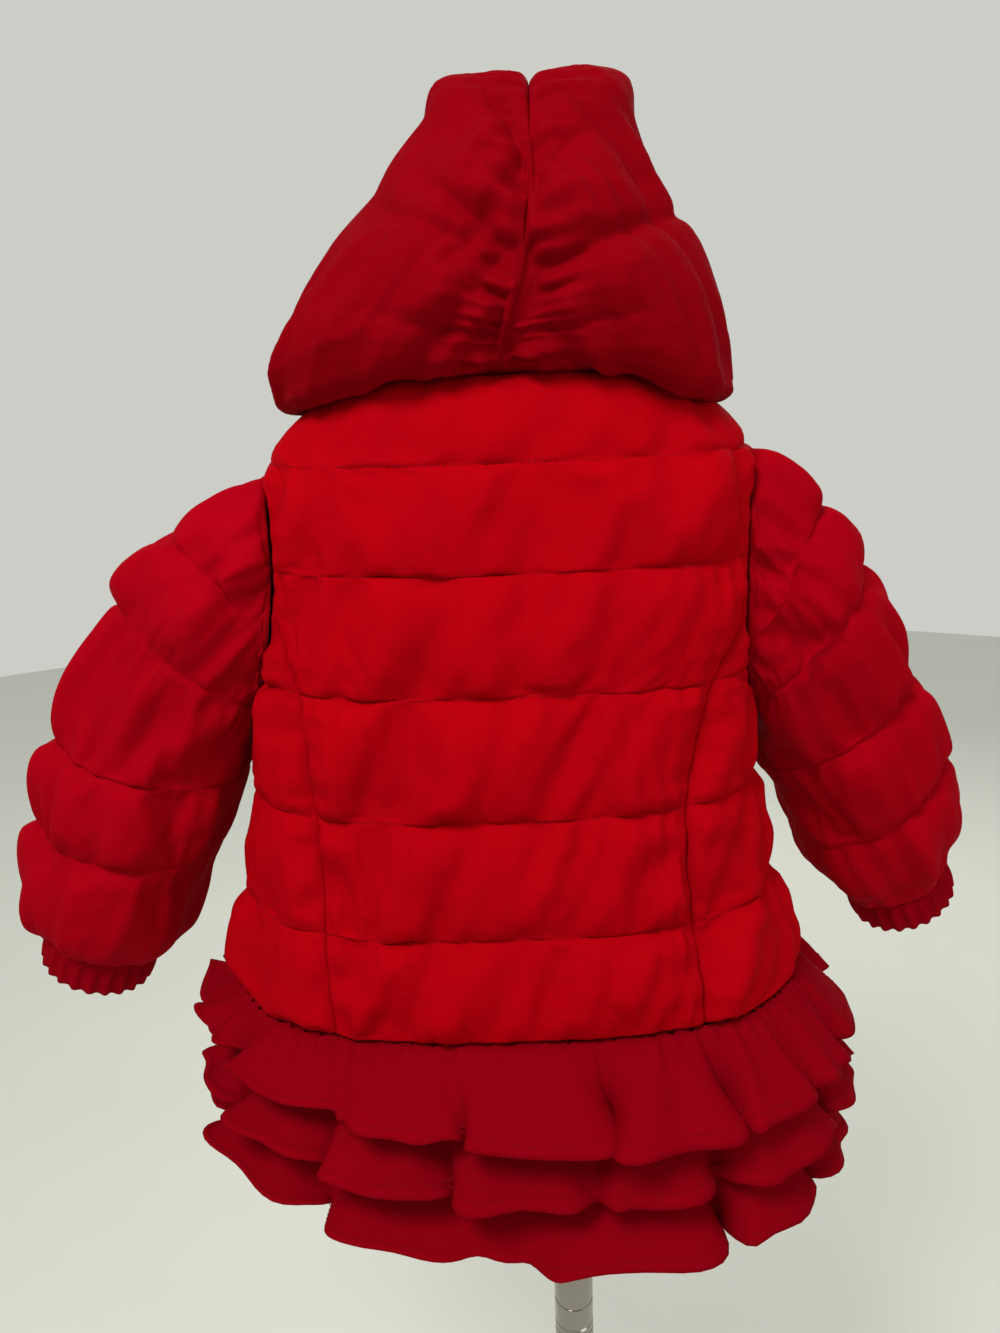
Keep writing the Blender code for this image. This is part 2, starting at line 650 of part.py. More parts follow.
def make_hood(side, finish):
    shares = [i / HOOD_COLUMNS for i in range(HOOD_COLUMNS + 1)]
    table = [(k, *row) for k, row in enumerate(HOOD_ROWS)]
    steps = [k / 2 for k in range(2 * len(HOOD_ROWS) - 1)]
    grid = [[neck_ring_point(side, share) for share in shares]]
    for step in steps:
        seam, flank, edge = hood_row(smooth_table(table, step), side)
        grid.append([hood_curve(seam, flank, edge, share) for share in shares])
    normals = grid_normals(grid, False)
    normals[-1] = normals[-4]  # the front edge's points lie too close together for their own
    sign = 1 if normals[6][7].x * (1 if side == "left" else -1) > 0 else -1
    outer, inner = [], []
    for i, row in enumerate(grid):
        outer.append([])
        inner.append([])
        for j, point in enumerate(row):
            normal = normals[i][j] * sign
            if j == 0:
                normal.x = 0.0
                normal.normalize()
            seam_reach = (point - row[0]).length
            edge_reach = (point - row[-1]).length
            full = swell(seam_reach, 0.030) * swell(edge_reach, 0.025) * swell(i, 4.0)
            full *= swell(len(grid) - 1 - i, 3.0)
            puff = HOOD_PUFF * full * max(1 + 1.5 * min(normal.z, 0.0), 0.0)
            if point.y > 0.0:
                puff -= fold_depth(point) * min(full * 2, 1.0)
            outer[-1].append(point + normal * max(puff, -0.001))
            inner[-1].append(point - normal * PADDED_WALL)
            lift = lift_off_shoulder(outer[-1][-1]) if i > 0 else 0.0
            outer[-1][-1].z += lift
            inner[-1][-1].z += lift
    inner = inner[:2] + inner[2:-1:2] + inner[-1:]
    wall(f"hood_{side}", outer, inner, finish)


# ---- the frill
def frill_point(tier, angle, share):
    """A point of a tier's middle surface: its waves grow from the seam down to the free edge."""
    name, waves, phase, heights = tier
    height, offset, size, side_lift = frill_profile(heights, share)
    back = 1 + (FRILL_BACK - 1) * max(math.sin(angle), 0.0)
    swing = waves * angle + phase + 0.9 * math.sin(3 * angle + phase) + 0.5 * math.sin(5 * angle - phase)
    wave = math.sin(swing) + 0.25 * math.sin(2 * swing + 1.3 * math.sin(4 * angle))
    reach = offset * back + size * (0.8 + 0.2 * math.sin(4 * angle + 2 * phase)) * wave
    half_width, half_depth, sway = FRILL_SEAM
    grown = min(max(offset / FRILL_REACH, 0.0), 1.0)
    power = ROUND_POWER + (FRILL_POWER - ROUND_POWER) * grown
    x = (half_width + reach) * signed_power(math.cos(angle), 2 / power)
    y = (half_depth + reach) * signed_power(math.sin(angle), 2 / power)
    lift = FRILL_LIFT * (reach - offset * back) + side_lift * math.cos(angle) ** 2
    lift += FRILL_TILT * x * grown**2
    return Vector((COAT_X + sway + x - FRILL_LEAN * grown**2, y, height + lift))


def frill_profile(heights, share):
    table = [(k / (len(heights) - 1), *row) for k, row in enumerate(heights)]
    return smooth_table(table, share)


def make_frill(tier, finish):
    count = tier[1] * POINTS_A_WAVE
    low, high = -math.pi / 2 + FRILL_OPENING, 3 * math.pi / 2 - FRILL_OPENING
    angles = [low + (high - low) * i / count for i in range(count + 1)]
    drop = tier[3][0][0] - tier[3][-1][0]
    rows = max(round(drop / FRILL_ROW_HEIGHT), 3)
    grid = [[frill_point(tier, angle, i / rows) for angle in angles] for i in range(rows + 1)]
    normals = grid_normals(grid, False)
    sign = 1 if normals[2][count // 2].y > 0 else -1
    half = SHEET_WALL / 2 * sign
    for i, normal in enumerate(normals[0]):
        normals[0][i] = Vector((normal.x, normal.y, 0)).normalized()
    outer = [[p + n * half for p, n in zip(*rows)] for rows in zip(grid, normals)]
    inner = [[p - n * half for p, n in zip(*rows)] for rows in zip(grid, normals)]
    wall(tier[0], outer, inner, finish)


# ---- the front zip
def front_point(x, height, out):
    angle = -angle_at_x(abs(x), height)
    if x < 0:
        angle = math.pi - angle
    return torso_point(angle, height) + torso_normal(angle, height) * out


def make_zip(tape_finish, metal):
    low, high = ZIP_HEIGHTS
    heights = [low + (high - low) * i / 12 for i in range(13)]
    for side, hand in (("left", 1), ("right", -1)):
        edges = [hand * x for x in ZIP_TAPE][::hand]
        outer = [[front_point(x, height, 0.0020) for x in edges] for height in heights]
        inner = [[front_point(x, height, 0.0008) for x in edges] for height in heights]
        wall(f"zip_tape_{side}", outer, inner, tape_finish)
    surface = front_point(0.0008, SLIDER_HEIGHT, 0.0020)
    width, depth, length = SLIDER
    front = surface.y - SEAM_GAP - 0.0002
    slider = bmesh.new()
    add_block(slider, (COAT_X, front - depth / 2, SLIDER_HEIGHT), (width, depth, length), 0.0008)
    data = place("zip_slider", slider, metal)
    for hand in (1, -1):
        cheek = bmesh.new()
        spot = (COAT_X + hand * 0.0030, front - depth - 0.0012, SLIDER_HEIGHT + 0.003)
        add_block(cheek, spot, (0.0014, 0.0034, 0.0050), 0.0003)
        join(data, place(f"cheek_{hand}", cheek, metal))
    tab_width, tab_depth, tab_length = TAB
    pivot = Vector((COAT_X, front - depth - 0.0012, SLIDER_HEIGHT + 0.003))
    tab = bmesh.new()
    barrel_width = 2 * (0.0030 - 0.0007 - 0.0003)
    add_block(tab, (0, 0, -0.003), (barrel_width, tab_depth, 0.0080), 0.0004)
    tab_data = place("zip_tab", tab, metal)
    blade = bmesh.new()
    add_block(blade, (0, 0, -0.0062 - tab_length / 2), (tab_width, tab_depth, tab_length), 0.0005)
    blade_data = place("blade", blade, metal)
    blade_data.parent = tab_data
    join(tab_data, blade_data)
    tab_data.location = pivot
    return pivot


def add_block(mesh, centre, size, bevel):
    made = bmesh.ops.create_cube(mesh, size=1.0)
    bmesh.ops.scale(mesh, vec=size, verts=made["verts"])
    edges = mesh.edges[:]
    bmesh.ops.bevel(mesh, geom=edges, offset=bevel, segments=1, profile=0.5, affect="EDGES", material=-1)
    bmesh.ops.translate(mesh, vec=centre, verts=mesh.verts[:])


def add_cylinder(mesh, radius, low, high):
    made = bmesh.ops.create_cone(
        mesh, segments=24, radius1=radius, radius2=radius, depth=high - low, cap_ends=True
    )
    bmesh.ops.translate(mesh, vec=(0, 0, (low + high) / 2), verts=made["verts"])


def join(thing, other):
    """Makes two overlapping solids one."""
    union = thing.modifiers.new("join", "BOOLEAN")
    union.operation = "UNION"
    union.solver = "EXACT"
    union.object = other
    other.hide_render = True
    other.display_type = "WIRE"


# ---- the dress form and its stand
def ring(half_width, half_depth, height, shift, count=18, power=2.3):
    points = []
    for i in range(count):
        turn = 2 * math.pi * i / count
        x = half_width * signed_power(math.cos(turn), 2 / power)
        y = half_depth * signed_power(math.sin(turn), 2 / power)
        points.append(Vector((COAT_X + shift + x, y, height)))
    return points


def loft(name, rings, finish):
    mesh = bmesh.new()
    rows = add_grid(mesh, rings, True, False)
    mesh.faces.new(rows[0][::-1])
    mesh.faces.new(rows[-1])
    return place(name, mesh, finish)


def shoulder_ring(height, half_depth):
    """The form's round just inside the coat's shoulders, where the coat hangs from it."""
    half_width = smooth_table(TORSO, height)[0]
    fit = ring(half_width - FORM_GAP, half_depth, height - FORM_GAP, 0.0)
    for point in fit:
        point.z += NECK_TILT * point.y / TORSO[-1][2] * smooth_step(ARM_TOP, TORSO[-1][0], height) * 0.6
    return fit


def make_form(finish):
    rings = [ring(w, d, h, FORM_SHIFT * share) for h, w, d, share in FORM]
    rings += [shoulder_ring(h, d) for h, d in zip(FORM_SHOULDER_ROWS, FORM_SHOULDER_DEPTHS)]
    rings += [ring(w, d, h, 0.0) for h, w, d in FORM_NECK]
    form = loft("form_torso", rings, finish)
    for hand in (1, -1):
        shift = FORM_SHIFT + hand * STUMP_HALF_GAP
        stump = loft(f"stump_{hand}", [ring(w, d, h, shift, 16) for h, w, d in STUMP], finish)
        join(form, stump)
    socket = bmesh.new()
    add_cylinder(socket, MAST_SOCKET, STUMP[0][0] - 0.02, MAST_HEIGHTS[1] + SEAM_GAP)
    hole = place("mast_socket_cutter", socket, finish)
    cut = form.modifiers.new("socket", "BOOLEAN")
    cut.operation = "DIFFERENCE"
    cut.solver = "EXACT"
    cut.object = hole
    hole.hide_render = True
    hole.display_type = "WIRE"


def turned_rings(profile, segments):
    """Rings of points about the pole's axis, one for each (radius, height) of a profile."""
    turns = [2 * math.pi * i / segments for i in range(segments)]
    return [[Vector((r * math.cos(t), r * math.sin(t), h)) for t in turns] for r, h in profile]


def turned(name, profile, finish):
    """A hollow solid of revolution through a closed profile."""
    rings = turned_rings(profile, 20)
    mesh = bmesh.new()
    add_grid(mesh, rings + rings[:1], True, False)
    bmesh.ops.remove_doubles(mesh, verts=mesh.verts[:], dist=1e-6)
    return place(name, mesh, finish)


def collar_profile():
    """The collar's outside with its ring line and grooves, then its bore for the tube and the mast."""
    outline = list(COLLAR_PROFILE)
    radius, height = outline[-1]
    for _ in range(GROOVES):
        outline += [(radius - GROOVE_DEPTH, height - 0.0012), (radius, height - 0.0024)]
        outline.append((radius, height - GROOVE_PITCH))
        height -= GROOVE_PITCH
    shoulder = TUBE_HEIGHTS[1] + SEAM_GAP
    wide, narrow = TUBE_RADIUS + COLLAR_FIT, MAST_RADIUS + COLLAR_FIT
    outline += [(radius, COLLAR_LOW), (wide, COLLAR_LOW), (wide, shoulder)]
    outline += [(narrow, shoulder), (narrow, outline[0][1])]
    return outline


def make_stand(chrome, steel):
    mast = bmesh.new()
    add_cylinder(mast, MAST_RADIUS, *MAST_HEIGHTS)
    place("mast", mast, chrome)
    low, high = TUBE_HEIGHTS
    tube = ((TUBE_RADIUS, high), (TUBE_RADIUS, low), (TUBE_BORE, low), (TUBE_BORE, high))
    turned("outer_tube", tube, chrome)
    turned("lock_collar", collar_profile(), chrome)
    base = bmesh.new()
    top = BASE_THICKNESS
    outline = ((BASE_RADIUS - 0.002, 0.0), (BASE_RADIUS, 0.0015), (BASE_RADIUS, top - 0.0015),
               (BASE_RADIUS - 0.002, top), (0.030, top), (0.020, top + 0.004),
               (0.0165, top + 0.012), (0.0165, low - SEAM_GAP))
    rows = add_grid(base, turned_rings(outline, 40), True, False)
    base.faces.new(rows[0][::-1])
    base.faces.new(rows[-1])
    place("base_plate", base, steel)


clear_scene()
red_shell = material("red_quilted_shell", (0.50, 0.004, 0.012), 0.75)
red_frill = material("red_frill_cloth", (0.45, 0.004, 0.014), 0.7)
red_cuff = material("red_cuff_cloth", (0.40, 0.003, 0.010), 0.8)
red_tape = material("red_zip_tape", (0.38, 0.003, 0.010), 0.8)
zip_metal = material("zip_metal", (0.60, 0.60, 0.62), 0.3, 1.0)
form_cloth = material("form_cover", (0.72, 0.70, 0.64), 0.85)
chrome_steel = material("chrome_steel", (0.70, 0.70, 0.70), 0.12, 1.0)
base_steel = material("base_steel", (0.55, 0.55, 0.56), 0.3, 1.0)
make_body(red_shell)
for coat_side in ("left", "right"):
    make_sleeve(coat_side, red_shell)
    make_cuff(coat_side, red_cuff)
    make_hood(coat_side, red_shell)
for frill_tier in FRILL_TIERS:
    make_frill(frill_tier, red_frill)
make_zip(red_tape, zip_metal)
make_form(form_cloth)
make_stand(chrome_steel, base_steel)
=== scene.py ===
"""A small child's quilted coat with a hood and a three-tier frill, on a limbless dress form and pole stand.

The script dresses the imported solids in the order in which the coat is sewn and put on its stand. Metres,
+Z up; the coat's back faces +Y and the wearer's left is +X.
"""

import math

import bmesh
import bpy
from mathutils import Matrix, Vector, noise
from mathutils.bvhtree import BVHTree
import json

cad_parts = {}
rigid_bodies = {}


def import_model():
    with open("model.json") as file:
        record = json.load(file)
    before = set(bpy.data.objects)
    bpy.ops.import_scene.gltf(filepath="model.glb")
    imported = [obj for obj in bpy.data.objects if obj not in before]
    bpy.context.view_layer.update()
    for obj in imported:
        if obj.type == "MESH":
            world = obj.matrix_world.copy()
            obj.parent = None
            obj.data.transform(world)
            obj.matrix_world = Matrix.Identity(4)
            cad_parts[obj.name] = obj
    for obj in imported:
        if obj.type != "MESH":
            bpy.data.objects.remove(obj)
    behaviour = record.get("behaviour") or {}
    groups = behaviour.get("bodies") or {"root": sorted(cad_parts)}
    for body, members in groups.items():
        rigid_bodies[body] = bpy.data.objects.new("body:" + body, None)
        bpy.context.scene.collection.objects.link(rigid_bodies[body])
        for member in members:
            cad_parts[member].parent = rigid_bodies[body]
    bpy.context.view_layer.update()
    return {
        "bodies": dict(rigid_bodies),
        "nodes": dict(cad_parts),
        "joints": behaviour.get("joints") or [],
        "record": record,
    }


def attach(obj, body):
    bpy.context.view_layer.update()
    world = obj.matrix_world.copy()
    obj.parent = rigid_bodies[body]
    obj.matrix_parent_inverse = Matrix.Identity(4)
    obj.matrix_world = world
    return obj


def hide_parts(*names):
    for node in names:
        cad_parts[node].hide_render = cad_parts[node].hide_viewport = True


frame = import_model()

# ==== The room
# A pale floor under a pale room. A window's soft light falls from the upper left on the coat's back, with
# weaker light from the right and on its front. The camera stands close behind and looks a little down.
CAMERA_SPOT = Vector((0.028, 0.60, 1.15))
CAMERA_DOWN = math.radians(15.0)
CAMERA_ROLL = math.radians(2.2)
CAMERA_TURN = math.atan(0.015)
PHOTO_SHAPE = 1333 / 1000
FLOOR_RADIUS = 4.5
FLOOR_DROP = 0.0005  # how far the floor lies below the stand's foot


def add_object(name, data):
    made = bpy.data.objects.new(name, data)
    bpy.context.scene.collection.objects.link(made)
    return made


def mesh_object(name, mesh):
    """An object made from a bmesh, which is then freed."""
    data = bpy.data.meshes.new(name)
    mesh.to_mesh(data)
    mesh.free()
    return add_object(name, data)


ahead = Vector((math.sin(CAMERA_TURN) * math.cos(CAMERA_DOWN), -math.cos(CAMERA_TURN) * math.cos(CAMERA_DOWN),
                -math.sin(CAMERA_DOWN)))
level = ahead.cross(Vector((0, 0, 1))).normalized()
upright = level.cross(ahead)
right_side = level * math.cos(CAMERA_ROLL) - upright * math.sin(CAMERA_ROLL)
down_side = -level * math.sin(CAMERA_ROLL) - upright * math.cos(CAMERA_ROLL)
camera_data = bpy.data.cameras.new("camera")
camera_data.sensor_fit = "VERTICAL"
camera_data.lens = 36
camera_data.sensor_height = 36 * PHOTO_SHAPE
camera_data.clip_start = 0.02
camera = add_object("camera", camera_data)
turn = Matrix((right_side, -down_side, -ahead)).transposed().to_4x4()
camera.matrix_world = Matrix.Translation(CAMERA_SPOT) @ turn
bpy.context.scene.camera = camera
bpy.context.scene.view_settings.view_transform = "Standard"


def soft_light(name, spot, aim, width, power, colour):
    data = bpy.data.lights.new(name, "AREA")
    data.shape = "DISK"
    data.size = width
    data.energy = power
    data.color = colour
    lamp = add_object(name, data)
    lamp.location = spot
    lamp.rotation_euler = (Vector(aim) - Vector(spot)).to_track_quat("-Z", "Y").to_euler()


soft_light("window", (0.62, 1.15, 2.50), (0.0, 0.0, 1.0), 0.7, 33, (1.0, 0.985, 0.96))
soft_light("room", (-1.5, 1.2, 1.6), (0.0, 0.0, 0.95), 1.2, 7, (1.0, 0.96, 0.90))
soft_light("front_room", (-0.6, -2.0, 2.0), (0.0, 0.0, 1.0), 1.8, 20, (1.0, 0.98, 0.95))

world = bpy.data.worlds.new("room")
world.use_nodes = True
world.node_tree.nodes["Background"].inputs["Color"].default_value = (0.72, 0.73, 0.68, 1)
world.node_tree.nodes["Background"].inputs["Strength"].default_value = 0.84
bpy.context.scene.world = world


class Signal:
    """One socket of a finish's nodes. Sums and products of signals add their Math nodes."""

    def __init__(self, finish, socket):
        self.finish = finish
        self.socket = socket

    def with_math(self, operation, other):
        return self.finish.node("ShaderNodeMath", {"operation": operation}, {0: self, 1: other})

    def __add__(self, other):
        return self.with_math("ADD", other)

    def __mul__(self, other):
        return self.with_math("MULTIPLY", other)

    __radd__ = __add__
    __rmul__ = __mul__


class Finish:
    """A material built from named nodes around one Principled shader."""

    def __init__(self, name, colour, roughness, **constants):
        self.material = bpy.data.materials.new(name)
        self.material.use_nodes = True
        self.material.diffuse_color = (*colour, 1)
        self.nodes = self.material.node_tree.nodes
        self.links = self.material.node_tree.links
        self.shader = self.nodes["Principled BSDF"]
        self.set(self.shader, {"Base Color": (*colour, 1), "Roughness": roughness})
        self.set(self.shader, {key.replace("_", " "): value for key, value in constants.items()})

    def set(self, node, sockets):
        for name, value in sockets.items():
            socket = node.inputs[name]
            if isinstance(value, Signal):
                self.links.new(value.socket, socket)
            else:
                socket.default_value = value

    def node(self, kind, settings, sockets, output=0):
        made = self.nodes.new(kind)
        for name, value in settings.items():
            if name == "stops":
                for stop, (position, shade) in zip(made.color_ramp.elements, value):
                    stop.position = position
                    stop.color = (shade, shade, shade, 1)
            else:
                setattr(made, name, value)
        self.set(made, sockets)
        return Signal(self, made.outputs[output])

    def place(self):
        return self.node("ShaderNodeTexCoord", {}, {}, "Object")

    def patches(self, place, scale, detail=2.0, stretch=(1, 1, 1)):
        """Soft noise from 0 to 1 at so many patches a metre."""
        spread = self.node("ShaderNodeMapping", {}, {"Vector": place, "Scale": stretch})
        return self.node("ShaderNodeTexNoise", {}, {"Vector": spread, "Scale": scale, "Detail": detail})

    def blend(self, share, one, other):
        return self.node("ShaderNodeMix", {"data_type": "RGBA"}, {0: share, 6: (*one, 1), 7: other}, 2)

    def paint(self, **sockets):
        self.set(self.shader, {name.replace("_", " "): value for name, value in sockets.items()})

    def raise_by(self, height, distance, strength=1.0):
        """Feeds a height signal to the shader's normal; the distance is the real height in metres."""
        bump = self.node("ShaderNodeBump", {}, {"Height": height, "Distance": distance, "Strength": strength})
        self.paint(Normal=bump)


floor_mesh = bmesh.new()
bmesh.ops.create_circle(floor_mesh, cap_ends=True, segments=96, radius=FLOOR_RADIUS)
bmesh.ops.translate(floor_mesh, vec=(0, 0, -FLOOR_DROP), verts=floor_mesh.verts[:])
floor = mesh_object("floor", floor_mesh)
floor_paint = Finish("floor_paint", (0.66, 0.67, 0.62), 0.7)
floor_tone = floor_paint.patches(floor_paint.place(), 3.0)
floor_paint.paint(Base_Color=floor_paint.blend(floor_tone, (0.68, 0.69, 0.64), (0.64, 0.65, 0.60, 1)))
floor.data.materials.append(floor_paint.material)

# ==== The quilted body
# Five panels of padded cloth, a centre back, two curved side backs and two fronts. Each is a woven shell over
# wadding, sewn through along six level lines, so that it swells between them and gathers beside each line.
COAT_X = 0.028
SEAM_GAP = 0.0004
PADDED_WALL = 0.003
BODY_PUFF = 0.010
PUFF_REACH = 0.025
ARMHOLE_REACH = 0.028
ROUND_POWER = 2.7
TORSO = (  # height, half width, half depth of the inner wall, sway of its middle
    (0.797, 0.173, 0.104, 0.004), (0.825, 0.166, 0.100, 0.006), (0.865, 0.156, 0.095, 0.009),
    (0.940, 0.145, 0.087, 0.010), (1.000, 0.142, 0.084, 0.005), (1.050, 0.141, 0.081, 0.001),
    (1.100, 0.137, 0.076, 0.000), (1.117, 0.132, 0.073, 0.000), (1.130, 0.120, 0.070, 0.000),
    (1.139, 0.107, 0.067, 0.000), (1.146, 0.093, 0.063, 0.000), (1.150, 0.079, 0.058, 0.000),
)
QUILT_LINES = (0.797, 0.857, 0.925, 0.995, 1.061, 1.117, 1.150)
YOKE_PUFF = 0.4
NECK_TILT = 0.009
ARM_TOP = 1.117
ARM_LOW = 0.9705
ARM_MIDDLE = (ARM_TOP + ARM_LOW) / 2
ARM_HALF = (ARM_TOP - ARM_LOW) / 2
ARM_HALF_DEPTH = 0.043
BACK_SEAM = (  # height, distance of the seam down each side of the back from the coat's middle
    (0.797, 0.106), (0.823, 0.106), (0.911, 0.102), (0.987, 0.111), (1.010, 0.120), (1.038, 0.129),
)
BACK_SEAM_HIGH = 1.0379
BACK_SEAM_TOP = 1.05308
SIDE_TIP = 0.75
FRONT_EDGE = 0.0105
QUILT_FLOOR = 0.0014  # how far the stitched lines stand out from the wall's plain thickness
QUILT_RISE = 0.0068
PUCKER_SPACING = 0.0105
PUCKER_REACH = 0.008
PUCKER_HEIGHT = 0.0030
CREASE_HEIGHT = 0.0098
SEAM_TURNING = 0.004  # the edge of each piece that is turned to the inside at its seams


def smooth_table(table, where):
    last = len(table) - 1
    where = min(max(where, table[0][0]), table[last][0])
    i = next((k for k in range(last) if where <= table[k + 1][0]), last - 1)
    before, low, high, after = table[max(i - 1, 0)], table[i], table[i + 1], table[min(i + 2, last)]
    span = high[0] - low[0]
    t = (where - low[0]) / span
    weights = (2 * t**3 - 3 * t**2 + 1, t**3 - 2 * t**2 + t, 3 * t**2 - 2 * t**3, t**3 - t**2)
    values = []
    for column in range(1, len(low)):
        start = (high[column] - before[column]) / (high[0] - before[0]) * span
        end = (after[column] - low[column]) / (after[0] - low[0]) * span
        ends = (low[column], start, high[column], end)
        values.append(sum(weight * value for weight, value in zip(weights, ends)))
    return values


def smooth_step(low, high, value):
    t = min(max((value - low) / (high - low), 0.0), 1.0)
    return t * t * (3 - 2 * t)


def swell(distance, reach):
    t = min(max(distance / reach, 0.0), 1.0)
    return math.sqrt(1 - (1 - t) ** 2)


def signed_power(value, power):
    return math.copysign(abs(value) ** power, value)


def eased(count, share=0.55):
    turns = [2 * math.pi * i / count for i in range(count + 1)]
    return [turn / (2 * math.pi) - share * math.sin(turn) / (2 * math.pi) for turn in turns]


def torso_point(angle, height):
    half_width, half_depth, sway = smooth_table(TORSO, height)
    x = half_width * signed_power(math.cos(angle), 2 / ROUND_POWER)
    y = half_depth * signed_power(math.sin(angle), 2 / ROUND_POWER)
    tilt = NECK_TILT * math.sin(angle) * smooth_step(ARM_TOP, TORSO[-1][0], height)
    return Vector((COAT_X + sway + x, y, height + tilt))


def torso_normal(angle, height):
    low, high = max(height - 0.001, TORSO[0][0]), min(height + 0.001, TORSO[-1][0])
    across = torso_point(angle + 0.01, height) - torso_point(angle - 0.01, height)
    along = torso_point(angle, high) - torso_point(angle, low)
    return across.cross(along).normalized()


def wall_point(angle, height, out):
    return torso_point(angle, height) + torso_normal(angle, height) * out


def angle_at_x(x, height):
    half_width = smooth_table(TORSO, height)[0]
    return math.acos(min(x / half_width, 1.0) ** (ROUND_POWER / 2))


def armhole_angle(height):
    depth = ARM_HALF_DEPTH * math.sqrt(max(1 - ((height - ARM_MIDDLE) / ARM_HALF) ** 2, 0.0))
    return math.asin((depth / smooth_table(TORSO, height)[1]) ** (ROUND_POWER / 2))


def back_seam_angle(height):
    if height <= BACK_SEAM_HIGH:
        return angle_at_x(smooth_table(BACK_SEAM, height)[0], height)
    share = min((height - BACK_SEAM_HIGH) / (BACK_SEAM_TOP - BACK_SEAM_HIGH), 1.0)
    low = angle_at_x(smooth_table(BACK_SEAM, BACK_SEAM_HIGH)[0], BACK_SEAM_HIGH)
    return low + share * (armhole_angle(height) - low)


def side_angle(height):
    return armhole_angle(height) if ARM_LOW < height < ARM_TOP else 0.0


def back_centre_angle(height):
    return back_seam_angle(height) if height < BACK_SEAM_TOP else side_angle(height)


def front_angle(height):
    return -angle_at_x(FRONT_EDGE, height)


def front_side_angle(height):
    return -side_angle(height)


def mirrored(angle):
    return lambda height: math.pi - angle(height)


def channel_fullness(height):
    height = min(height, QUILT_LINES[-1])
    i = next(k for k in range(len(QUILT_LINES) - 1) if height <= QUILT_LINES[k + 1] + 1e-9)
    low, high = QUILT_LINES[i], QUILT_LINES[i + 1]
    share = YOKE_PUFF if i == len(QUILT_LINES) - 2 else 1.0
    return share * swell(min(height - low, high - height), (high - low) / 2)


def armhole_fullness(y, height):
    round_share = math.hypot(y / ARM_HALF_DEPTH, (height - ARM_MIDDLE) / ARM_HALF)
    return swell((round_share - 1) * ARM_HALF_DEPTH, ARMHOLE_REACH)


def section_angles(start, end, height, shares):
    """Angles that divide the coat's round between two angles into shares of its length."""
    steps = 48
    angles = [start + (end - start) * i / steps for i in range(steps + 1)]
    points = [torso_point(a, height) for a in angles]
    lengths = [0.0]
    for one, other in zip(points, points[1:]):
        lengths.append(lengths[-1] + (other - one).length)
    inset = SEAM_GAP / 2
    found = []
    for share in shares:
        want = inset + share * (lengths[-1] - 2 * inset)
        k = next((i for i in range(steps) if want <= lengths[i + 1] + 1e-12), steps - 1)
        part = (want - lengths[k]) / (lengths[k + 1] - lengths[k])
        found.append((angles[k] + part * (angles[k + 1] - angles[k]), min(want, lengths[-1] - want)))
    return found


def pucker(along, away, seed):
    """How far small gathers stand out beside a stitched line: they fan out of it and die away."""
    drift = 1.7 * noise.noise(Vector((along * 31, seed, 0.3)))
    size = 0.35 + 0.65 * abs(noise.noise(Vector((along * 47, seed, 5.1))))
    wave = math.sin(2 * math.pi * (along / PUCKER_SPACING + drift))
    return PUCKER_HEIGHT * size * wave * (away / PUCKER_REACH) * math.exp(1 - away / PUCKER_REACH)


def crease(along, height, seed, slant=0.35):
    """Long soft folds that lie across a channel, uneven in length and depth."""
    across = along + slant * height
    wide = noise.noise(Vector((across * 34, height * 8, seed)))
    fine = noise.noise(Vector((across * 78, height * 21, seed + 4.0)))
    return CREASE_HEIGHT * (wide + 0.4 * fine)


def turned_in(spots, held, core, columns=True):
    """Adds the seam turning round a piece: an edge that folds to the inside of the coat."""
    def inward(point):
        return point + (core(point) - point).normalized() * SEAM_TURNING
    if columns:
        spots = [[inward(line[0]), *line, inward(line[-1])] for line in spots]
        held = [[1.0, *line, 1.0] for line in held]
    spots = [[inward(point) for point in spots[0]], *spots, [inward(point) for point in spots[-1]]]
    held = [[1.0] * len(held[0]), *held, [1.0] * len(held[0])]
    return spots, held


def cloth_piece(name, spots, held, core, closed=False):
    """A grid of cloth bent into the places of its points, rows of spots from one end to the other.

    Its UV map holds the cloth's own lengths in metres, and its held attribute is 1 where it is sewn down.
    """
    rows, columns = len(spots) - 1, len(spots[0]) - 1
    mesh = bmesh.new()
    lengths = mesh.loops.layers.uv.new("cloth")
    sewn = mesh.verts.layers.float.new("held")
    bmesh.ops.create_grid(mesh, x_segments=columns, y_segments=rows, size=0.5)
    middle = rows // 2
    across = [0.0]
    for one, other in zip(spots[middle], spots[middle][1:]):
        across.append(across[-1] + (other - one).length)
    along = [0.0]
    for one, other in zip(spots, spots[1:]):
        along.append(along[-1] + (other[columns // 2] - one[columns // 2]).length)
    places = {}
    for vert in mesh.verts:
        places[vert] = round((vert.co.x + 0.5) * columns), round((vert.co.y + 0.5) * rows)
    for face in mesh.faces:
        for loop in face.loops:
            i, j = places[loop.vert]
            loop[lengths].uv = (across[i], along[j])
    for vert, (i, j) in places.items():
        vert.co = spots[j][i]
        vert[sewn] = held[j][i]
    if closed:
        bmesh.ops.remove_doubles(mesh, verts=mesh.verts[:], dist=1e-6)
    mesh.normal_update()
    facing = sum((face.calc_center_median() - core(face.calc_center_median())).dot(face.normal)
                 for face in mesh.faces)
    if facing < 0:
        bmesh.ops.reverse_faces(mesh, faces=mesh.faces[:])
    return mesh_object(name, mesh)


